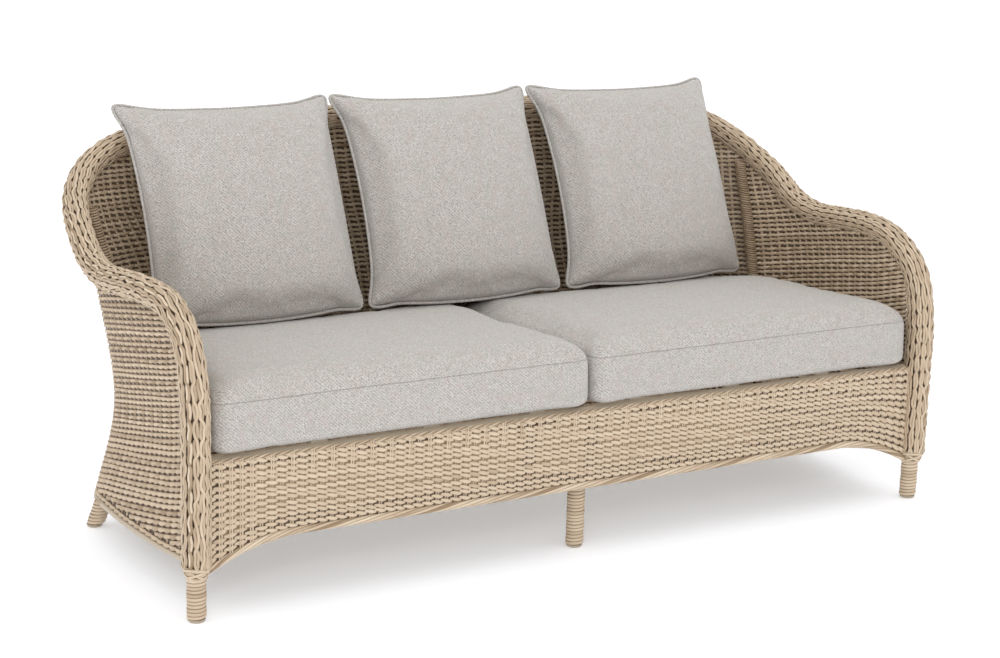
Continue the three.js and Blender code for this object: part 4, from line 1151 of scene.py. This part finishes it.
def tweed_group():
    """Shader group: a two-over-two twill of slubbed yarns, each crossing with its own chance tone.

    Cells are floor(place / pitch); the warp lies on top where fract((i + j) / 4) is under a half.
    """
    group = bpy.data.node_groups.new("tweed_surface", "ShaderNodeTree")
    given = [("Cloth", "Vector"), ("Rise", "Float")]
    given += [(name, "Color") for name in ("Warp", "Weft", "Light", "Dark", "Rose", "Moss")]
    source, result = sockets(group, given, [("Color", "Color"), ("Height", "Float")])
    yarn = source.outputs

    def fleck(scale, low, high, stretch):
        """Mask of soft flecks: a noise stretched along the yarns and cut between two levels."""
        noise = cloudy(group, stretched(group, yarn["Cloth"], stretch), scale, 1.0)
        return ranged(group, noise, [("From Min", low), ("From Max", high)])

    def tinted(base, colour, mask, strength):
        """Base colour mixed with another by a mask."""
        return blended(group, number(group, "MULTIPLY", mask, strength), base, colour)

    def line(height, half):
        """Mask of a level line round the cushion: 1 at its height, 0 from half a width away."""
        off = number(group, "ABSOLUTE", number(group, "SUBTRACT", yarn["Rise"], height))
        near = number(group, "MINIMUM", number(group, "DIVIDE", off, half), 1.0)
        return number(group, "SUBTRACT", 1.0, near)

    grid = stretched(group, yarn["Cloth"], (1 / yarn_pitch, 1 / yarn_pitch, 1.0))
    cell = vector(group, "FLOOR", grid)
    cell_axes = parted(group, cell)
    inside_axes = parted(group, vector(group, "FRACTION", grid))
    diagonal = number(group, "ADD", cell_axes["X"], cell_axes["Y"])
    step = number(group, "FRACT", number(group, "MULTIPLY", diagonal, 0.25))
    warp_up = number(group, "LESS_THAN", step, 0.49)
    luck = group.nodes.new("ShaderNodeTexWhiteNoise")
    luck.noise_dimensions = "2D"
    fed(group, luck.inputs["Vector"], cell)
    light_luck = number(group, "GREATER_THAN", luck.outputs["Value"], 0.78)
    dark_luck = number(group, "LESS_THAN", luck.outputs["Value"], 0.2)
    colour = tinted(yarn["Weft"], yarn["Warp"], warp_up, 1.0)
    colour = tinted(colour, yarn["Light"], light_luck, 0.5)
    colour = tinted(colour, yarn["Dark"], dark_luck, 0.48)
    colour = tinted(colour, yarn["Light"], fleck(430.0, 0.45, 0.75, (1.0, 0.55, 1.0)), 0.3)
    colour = tinted(colour, yarn["Dark"], fleck(390.0, 0.48, 0.75, (0.55, 1.0, 1.0)), 0.4)
    colour = tinted(colour, yarn["Rose"], fleck(42.0, 0.5, 0.7, (1.0, 0.7, 1.0)), 0.3)
    colour = tinted(colour, yarn["Moss"], fleck(37.0, 0.52, 0.7, (0.7, 1.0, 1.0)), 0.25)
    hump_x = number(group, "SINE", number(group, "MULTIPLY", inside_axes["X"], math.pi))
    hump_y = number(group, "SINE", number(group, "MULTIPLY", inside_axes["Y"], math.pi))
    hump = number(group, "POWER", number(group, "MULTIPLY", hump_x, hump_y), 0.5)
    # Painted shade: the cloth darkens in the crevices between the yarns.
    colour = tinted(colour, yarn["Dark"], number(group, "SUBTRACT", 1.0, hump), 0.35)
    dash = number(group, "FRACT", number(group, "MULTIPLY", parted(group, grid)["X"], 0.28))
    dash = number(group, "LESS_THAN", dash, 0.62)
    groove = line(seam_height, seam_half)
    stitched = number(group, "MAXIMUM", *(line(height, stitch_half) for height in stitch_heights))
    stitched = number(group, "MULTIPLY", stitched, dash)
    # Painted shade: the cloth darkens in the seam's groove.
    colour = tinted(colour, yarn["Dark"], groove, 0.6)
    colour = tinted(colour, yarn["Light"], stitched, 0.45)
    fed(group, result.inputs["Color"], colour)
    slub = fleck(300.0, 0.3, 0.7, (0.8, 0.8, 1.0))
    height = number(group, "ADD", number(group, "MULTIPLY", hump, 0.5), number(group, "MULTIPLY", slub, 0.7))
    height = number(group, "SUBTRACT", height, number(group, "MULTIPLY", groove, 2.0))
    fed(group, result.inputs["Height"], height)
    return group


def cloth_material(name, group):
    """Tweed with a little sheen."""
    colours = (
        ("Warp", (0.60, 0.57, 0.535)), ("Weft", (0.44, 0.415, 0.385)), ("Light", (0.74, 0.72, 0.69)),
        ("Dark", (0.21, 0.195, 0.175)), ("Rose", (0.52, 0.41, 0.385)), ("Moss", (0.40, 0.43, 0.36)),
    )
    feeds = [("Rise", "ShaderNodeAttribute", "rise", "Fac"), ("Cloth", "ShaderNodeUVMap", "cloth", "UV")]
    material, shader, _ = dressed(name, group, colours, 0.6, 0.0009, feeds, has_rough=False)
    shader.inputs["Roughness"].default_value = 0.92
    shader.inputs["Specular IOR Level"].default_value = 0.2
    shader.inputs["Sheen Weight"].default_value = 0.25
    shader.inputs["Sheen Roughness"].default_value = 0.5
    return material


tweed = cloth_material("grey_tweed", tweed_group())


def mesh_object(name, points, faces):
    """New linked object from an array of points and a list of faces."""
    mesh = bpy.data.meshes.new(name)
    mesh.from_pydata(points.tolist(), [], faces)
    mesh.update()
    thing = bpy.data.objects.new(name, mesh)
    bpy.context.scene.collection.objects.link(thing)
    return thing


def mesh_arrays(mesh):
    """Points of a mesh as an array."""
    points = np.empty(len(mesh.vertices) * 3, np.float32)
    mesh.vertices.foreach_get("co", points)
    return points.reshape(-1, 3).astype(float)


def remeshed(name, points, faces, voxel):
    """The closed form as an even net of quads: a voxel remesh of the given size."""
    rough = mesh_object(name + "_rough", points, faces)
    net = rough.modifiers.new("net", "REMESH")
    net.mode = "VOXEL"
    net.voxel_size = voxel
    graph = bpy.context.evaluated_depsgraph_get()
    even = bpy.data.meshes.new_from_object(rough.evaluated_get(graph))
    bpy.data.objects.remove(rough)
    thing = bpy.data.objects.new(name, even)
    bpy.context.scene.collection.objects.link(thing)
    return thing


def swollen(thing, pressure, cap):
    """Cloth stuffed by pressure for 20 frames; no point moves further than the cap. Returns the moves."""
    rest = mesh_arrays(thing.data)
    cloth = thing.modifiers.new("stuffing", "CLOTH")
    cloth.settings.quality = 4
    cloth.settings.mass = 0.25
    cloth.settings.tension_stiffness = 12
    cloth.settings.compression_stiffness = 12
    cloth.settings.shear_stiffness = 6
    cloth.settings.bending_stiffness = 0.4
    cloth.settings.use_pressure = True
    cloth.settings.uniform_pressure_force = pressure
    cloth.settings.effector_weights.gravity = 0.0
    cloth.point_cache.frame_start = 1
    cloth.point_cache.frame_end = 20
    scene = bpy.context.scene
    for step in range(1, 21):
        scene.frame_set(step)
    graph = bpy.context.evaluated_depsgraph_get()
    moved = mesh_arrays(thing.evaluated_get(graph).data)
    thing.modifiers.remove(cloth)
    scene.frame_set(1)
    move = moved - rest
    move = move - move.mean(axis=0)
    length = np.linalg.norm(move, axis=1, keepdims=True)
    return rest, move * np.minimum(1, cap / np.maximum(length, 1e-9))


def cloth_coordinates(mesh, rest):
    """Cut-cloth coordinates: each face takes the two axes it lies along in the unstuffed form."""
    corners = np.empty(len(mesh.loops), np.int32)
    mesh.loops.foreach_get("vertex_index", corners)
    starts = np.empty(len(mesh.polygons), np.int32)
    mesh.polygons.foreach_get("loop_start", starts)
    totals = np.empty(len(mesh.polygons), np.int32)
    mesh.polygons.foreach_get("loop_total", totals)
    a, b, c = (rest[corners[starts + k]] for k in range(3))
    normal = np.abs(np.cross(b - a, c - a))
    axis = np.repeat(np.argmax(normal, axis=1), totals)
    at = rest[corners]
    pick = np.array([(1, 2), (0, 2), (0, 1)])[axis]
    rows = np.arange(len(at))
    coords = np.stack([at[rows, pick[:, 0]], at[rows, pick[:, 1]]], axis=1) + axis[:, None] * 0.0113
    layer = mesh.uv_layers.new(name="cloth")
    layer.data.foreach_set("uv", coords.astype(np.float32).ravel())


def finish_cushion(thing, points, rest, body, replaced):
    thing.data.vertices.foreach_set("co", points.astype(np.float32).ravel())
    thing.data.update()
    cloth_coordinates(thing.data, rest)
    thing.data.polygons.foreach_set("use_smooth", np.ones(len(thing.data.polygons), bool))
    thing.data.materials.clear()
    thing.data.materials.append(tweed)
    soft = thing.modifiers.new("soft", "SUBSURF")
    soft.levels = 1
    soft.render_levels = 1
    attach(thing, body)
    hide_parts(replaced)


# The seat cushions: two boxed foam cushions side by side on the slats, rounded at the front and cut
# round at the sofa's rear corners, each with a crowned top and a seam round its lower edge.
seat_width = 0.84
seat_thick = 0.138
seat_depth = 0.606
seat_front_y = -0.404
seat_gap = 0.002
seat_slope = 0.0577
seat_angle = math.atan(seat_slope)
rail_y = front_y + 0.0045 + 0.0003 + 0.011
rail_z = 0.305
deck_top = 0.011 + 0.0003 + 0.005 + 0.0003
seat_start = 0.007
seat_play = 0.0012
seat_crown = 0.008


def rounded_outline(width, depth, radii, inset, steps):
    """Outline of a box with four rounded corners, from the front right one, drawn in by an inset."""
    signs = np.array([(1, -1), (1, 1), (-1, 1), (-1, -1)], float)
    angle = (np.arange(4)[:, None] - 1 + np.linspace(0, 1, steps + 1)[None, :]) * np.pi / 2
    radius = np.array(radii)[:, None]
    cx = signs[:, :1] * (width / 2 - radius)
    cy = signs[:, 1:] * (depth / 2 - radius)
    x = cx + (radius - inset) * np.cos(angle)
    y = cy + (radius - inset) * np.sin(angle)
    return np.stack([x.ravel(), y.ravel()], axis=1)


def seat_form(rear_corner):
    """Unstuffed seat cushion: rounded outlines stacked with a quarter round at both edges."""
    radii = [0.034] * 4
    radii[rear_corner] = 0.19
    layers = []
    tall = seat_thick - seat_start
    wide, deep = seat_width - 2 * seat_start, seat_depth - 2 * seat_start
    for low, edge in ((True, 0.014), (False, 0.034)):
        for i in range(4):
            angle = i / 3 * np.pi / 2
            inset = edge * (1 - math.sin(angle)) if low else edge * (1 - math.cos(angle))
            z = edge * (1 - math.cos(angle)) if low else tall - edge * (1 - math.sin(angle))
            outline = rounded_outline(wide, deep, radii, inset, 6)
            layers.append(np.column_stack([outline, np.full(len(outline), z)]))
    points = np.concatenate(layers)
    n = len(layers[0])
    start = np.arange(len(layers) - 1)[:, None] * n
    k = np.arange(n)[None, :]
    quads = np.stack([start + k, start + (k + 1) % n, start + (k + 1) % n + n, start + k + n], axis=-1)
    faces = quads.reshape(-1, 4).tolist()
    faces.append(list(range(n - 1, -1, -1)))
    top = (len(layers) - 1) * n
    faces.append(list(range(top, top + n)))
    return points, faces


def on_seat(points, x, along):
    """Points of a seat cushion, placed on the deck and turned by the seat's slope."""
    place = points + np.array([x, along, deck_top])
    cos, sin = math.cos(seat_angle), math.sin(seat_angle)
    y = rail_y + place[:, 1] * cos + place[:, 2] * sin
    z = rail_z - place[:, 1] * sin + place[:, 2] * cos
    return np.stack([place[:, 0], y, z], axis=1)


def seat_cushion(side, hand, rear_corner):
    """One seat cushion: remeshed, stuffed, crowned, and kept inside its own half of the seat."""
    points, faces = seat_form(rear_corner)
    thing = remeshed("soft_seat_" + side, points, faces, 0.009)
    rest, move = swollen(thing, 4.0, 0.022)
    full = rest + move
    full[:, 0] *= (seat_width / 2 - seat_play) / np.abs(full[:, 0]).max()
    full[:, 1] *= (seat_depth / 2 - seat_play) / np.abs(full[:, 1]).max()
    full[:, 2] *= (seat_thick + 0.004) / full[:, 2].max()
    u = np.clip(full[:, 0] / (seat_width / 2 - 0.06), -1, 1)
    v = np.clip((full[:, 1] + 0.04) / (seat_depth / 2 - 0.07), -1, 1)
    full[:, 2] += seat_crown * (1 - u * u) * (1 - v * v) * ease(full[:, 2] / seat_thick)
    pressed = ease((full[:, 1] - 0.16) / 0.06) * ease(full[:, 2] / seat_thick * 3 - 2)
    full[:, 2] -= 0.004 * pressed
    full[:, 2] = np.maximum(full[:, 2], 0.0)
    rise = thing.data.attributes.new("rise", "FLOAT", "POINT")
    rise.data.foreach_set("value", (rest[:, 2] + rise_offset).astype(np.float32))
    along = (seat_front_y - rail_y) / math.cos(seat_angle) + seat_depth / 2
    placed = on_seat(full, hand * (seat_width + seat_gap) / 2, along)
    finish_cushion(thing, placed, rest, "seat_" + side, "seat_cushion_" + side)


seat_cushion("right", 1.0, 1)
seat_cushion("left", -1.0, 2)

# The back cushions: three square knife-edged pillows that lean on the back, with drawn-in sides and
# pointed corners, and a piping cord of the same cloth sewn into the seam all round.
back_width = 0.506
back_height = 0.5
back_thick = 0.165
back_lean = 0.449
back_bow = 0.030
back_centres = {"left": -0.510, "middle": -0.001, "right": 0.511}
back_centre_y = 0.25467
back_centre_z = 0.65748
piping_radius = 0.0034
drawn_side_share = 0.03
drawn_top_share = 0.065
drawn_foot_share = -0.05
pleat_reach = 0.045
pleat_folds = 7.0
pleat_depth = 0.004


def pillow_edge(u, v, inset):
    """Seam-plane point for shares -1 to 1: each side is drawn in most at its middle.

    x = u (half width) (1 - drawn (1 - v^2)), z = v (half height) (1 - drawn (1 - u^2)), and the top is
    drawn in more than the foot.
    """
    half_x = back_width / 2 - inset
    half_z = back_height / 2 - inset
    x = u * half_x * (1 - drawn_side_share * (1 - v * v))
    z = v * half_z * (1 - np.where(v > 0, drawn_top_share, drawn_foot_share) * (1 - u * u))
    return x, z


def pillow_form(steps=28):
    """Unstuffed pillow: two grids of shares meet in the seam; thickness falls to a rounded edge."""
    t = np.sin(np.linspace(-1, 1, steps + 1) * np.pi / 2)
    u, v = np.meshgrid(t, t, indexing="ij")
    x, z = pillow_edge(u, v, 0.008)
    fill = (np.clip(1 - u * u, 0, 1) * np.clip(1 - v * v, 0, 1)) ** 0.42
    y = fill * back_thick / 2 * 0.9 + 0.004
    front = np.stack([x, -y, z], axis=-1).reshape(-1, 3)
    rear = np.stack([x, y, z], axis=-1).reshape(-1, 3)
    n = steps + 1
    cell = (np.arange(steps)[:, None] * n + np.arange(steps)[None, :]).ravel()
    quads = np.stack([cell, cell + n, cell + n + 1, cell + 1], axis=1)
    shell = [quads, quads[:, ::-1] + n * n]
    k = np.arange(steps)
    rims = [k * n, n * steps + k, (steps - k) * n + steps, steps - k]
    steps_on = [n, 1, -n, -1]
    for rim, forward in zip(rims, steps_on):
        a, b = rim, rim + forward
        shell.append(np.stack([b, a, a + n * n, b + n * n], axis=1))
    return np.concatenate([front, rear]), np.concatenate(shell).tolist()


def pillow_seam(count=60):
    """Closed line of the seam round the pillow, side by side from the lower left corner."""
    t = -1 + 2 * np.arange(count) / count
    ones = np.ones(count)
    u = np.concatenate([t, ones, -t, -ones])
    v = np.concatenate([-ones, t, ones, -t])
    x, z = pillow_edge(u, v, 0.005)
    return np.stack([x, np.zeros_like(x), z], axis=1)


def leant(points, side):
    """Points of a pillow bowed forward between its corners, then leant back in its place.

    For shares u, v of the half width and height the seam plane moves forward by bow (1 - u^2 v^2), and
    the foot sinks by bow tan(lean) (1 - u^2), so that it stays level on the seat.
    """
    cos, sin = math.cos(back_lean), math.sin(back_lean)
    u = np.clip(points[:, 0] / (back_width / 2), -1, 1)
    v = np.clip(points[:, 2] / (back_height / 2), -1, 1)
    across = points[:, 1] - back_bow * (1 - u * u * v * v)
    along = points[:, 2] + np.minimum(v, 0) * back_bow * sin / cos * (1 - u * u)
    y = back_centre_y + across * cos + along * sin
    z = back_centre_z - across * sin + along * cos
    return np.stack([back_centres[side] + points[:, 0], y, z], axis=1)


def pleats(points):
    """Folds that run out of each corner: depth exp(-distance / reach) sin(folds x angle), on the faces."""
    moved = points.copy()
    for right in (-1, 1):
        for top in (-1, 1):
            dx = right * (right * back_width / 2 - points[:, 0])
            dz = top * (top * back_height / 2 - points[:, 2])
            reach = np.hypot(dx, dz)
            angle = np.arctan2(dz, dx)
            fold = np.exp(-reach / pleat_reach) * np.sin(pleat_folds * angle + right + 2 * top)
            moved[:, 1] += np.sign(points[:, 1]) * pleat_depth * fold * ease(reach / 0.03)
    return moved


def closed_tube(line, radius, sides):
    """Round cord along a closed line that lies in the seam plane."""
    ahead = unit(np.roll(line, -1, axis=0) - np.roll(line, 1, axis=0))
    flat = np.array([0.0, 1.0, 0.0])
    outward = unit(np.cross(ahead, flat))
    normal = np.cross(outward, ahead)
    angle = np.arange(sides) / sides * 2 * np.pi
    ring = outward[:, None] * np.cos(angle)[None, :, None] + normal[:, None] * np.sin(angle)[None, :, None]
    points = (line[:, None] + ring * radius).reshape(-1, 3)
    n = len(line)
    start = np.arange(n)[:, None] * sides
    after = ((np.arange(n) + 1) % n)[:, None] * sides
    k = np.arange(sides)[None, :]
    following = (k + 1) % sides
    quads = np.stack([start + k, after + k, after + following, start + following], axis=-1).reshape(-1, 4)
    return points, quads.tolist()


def calmed(mesh, points, weight, rounds):
    """Points drawn towards the mean of their neighbours by their weight, a few times over."""
    pairs = np.empty(len(mesh.edges) * 2, np.int32)
    mesh.edges.foreach_get("vertices", pairs)
    a, b = pairs.reshape(-1, 2).T
    count = np.bincount(np.concatenate([a, b]), minlength=len(points))[:, None]
    for _ in range(rounds):
        total = np.zeros_like(points)
        np.add.at(total, a, points[b])
        np.add.at(total, b, points[a])
        points = points + weight * (total / count - points)
    return points


def back_cushion(side):
    """One back cushion and its piping, which follows the seam as the stuffing moves it."""
    points, faces = pillow_form()
    thing = remeshed("soft_back_" + side, points, faces, 0.0075)
    rest, move = swollen(thing, 4.0, 0.026)
    full = rest + move
    full[:, 0] *= (back_width / 2 - 2 * piping_radius) / np.abs(full[:, 0]).max()
    full[:, 2] *= (back_height / 2 - 2 * piping_radius) / np.abs(full[:, 2]).max()
    full[:, 1] *= back_thick / 2 / np.abs(full[:, 1]).max()
    from_seam = np.minimum(back_width / 2 - np.abs(rest[:, 0]), back_height / 2 - np.abs(rest[:, 2]))
    full = calmed(thing.data, full, 0.6 * ease((from_seam - 0.012) / 0.03)[:, None], 14)
    finish_cushion(thing, leant(pleats(full), side), rest, "back_" + side, "back_cushion_" + side)
    seam = pillow_seam()
    gap = np.linalg.norm(seam[:, None, :] - rest[None, ::3, :], axis=2)
    near = np.argsort(gap, axis=1)[:, :6]
    carried = (full - rest)[::3][near].mean(axis=1)
    carried[:, 1] = 0.0
    line = seam + carried
    for _ in range(4):
        line = (np.roll(line, 1, axis=0) + 2 * line + np.roll(line, -1, axis=0)) / 4
    cord_points, cord_faces = closed_tube(line, piping_radius, 8)
    cord = mesh_object("soft_piping_" + side, leant(cord_points, side), cord_faces)
    cord.data.polygons.foreach_set("use_smooth", np.ones(len(cord.data.polygons), bool))
    cloth_coordinates(cord.data, cord_points)
    cord.data.materials.append(tweed)
    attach(cord, "back_" + side)
    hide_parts("back_piping_" + side)


for side in ("left", "middle", "right"):
    back_cushion(side)
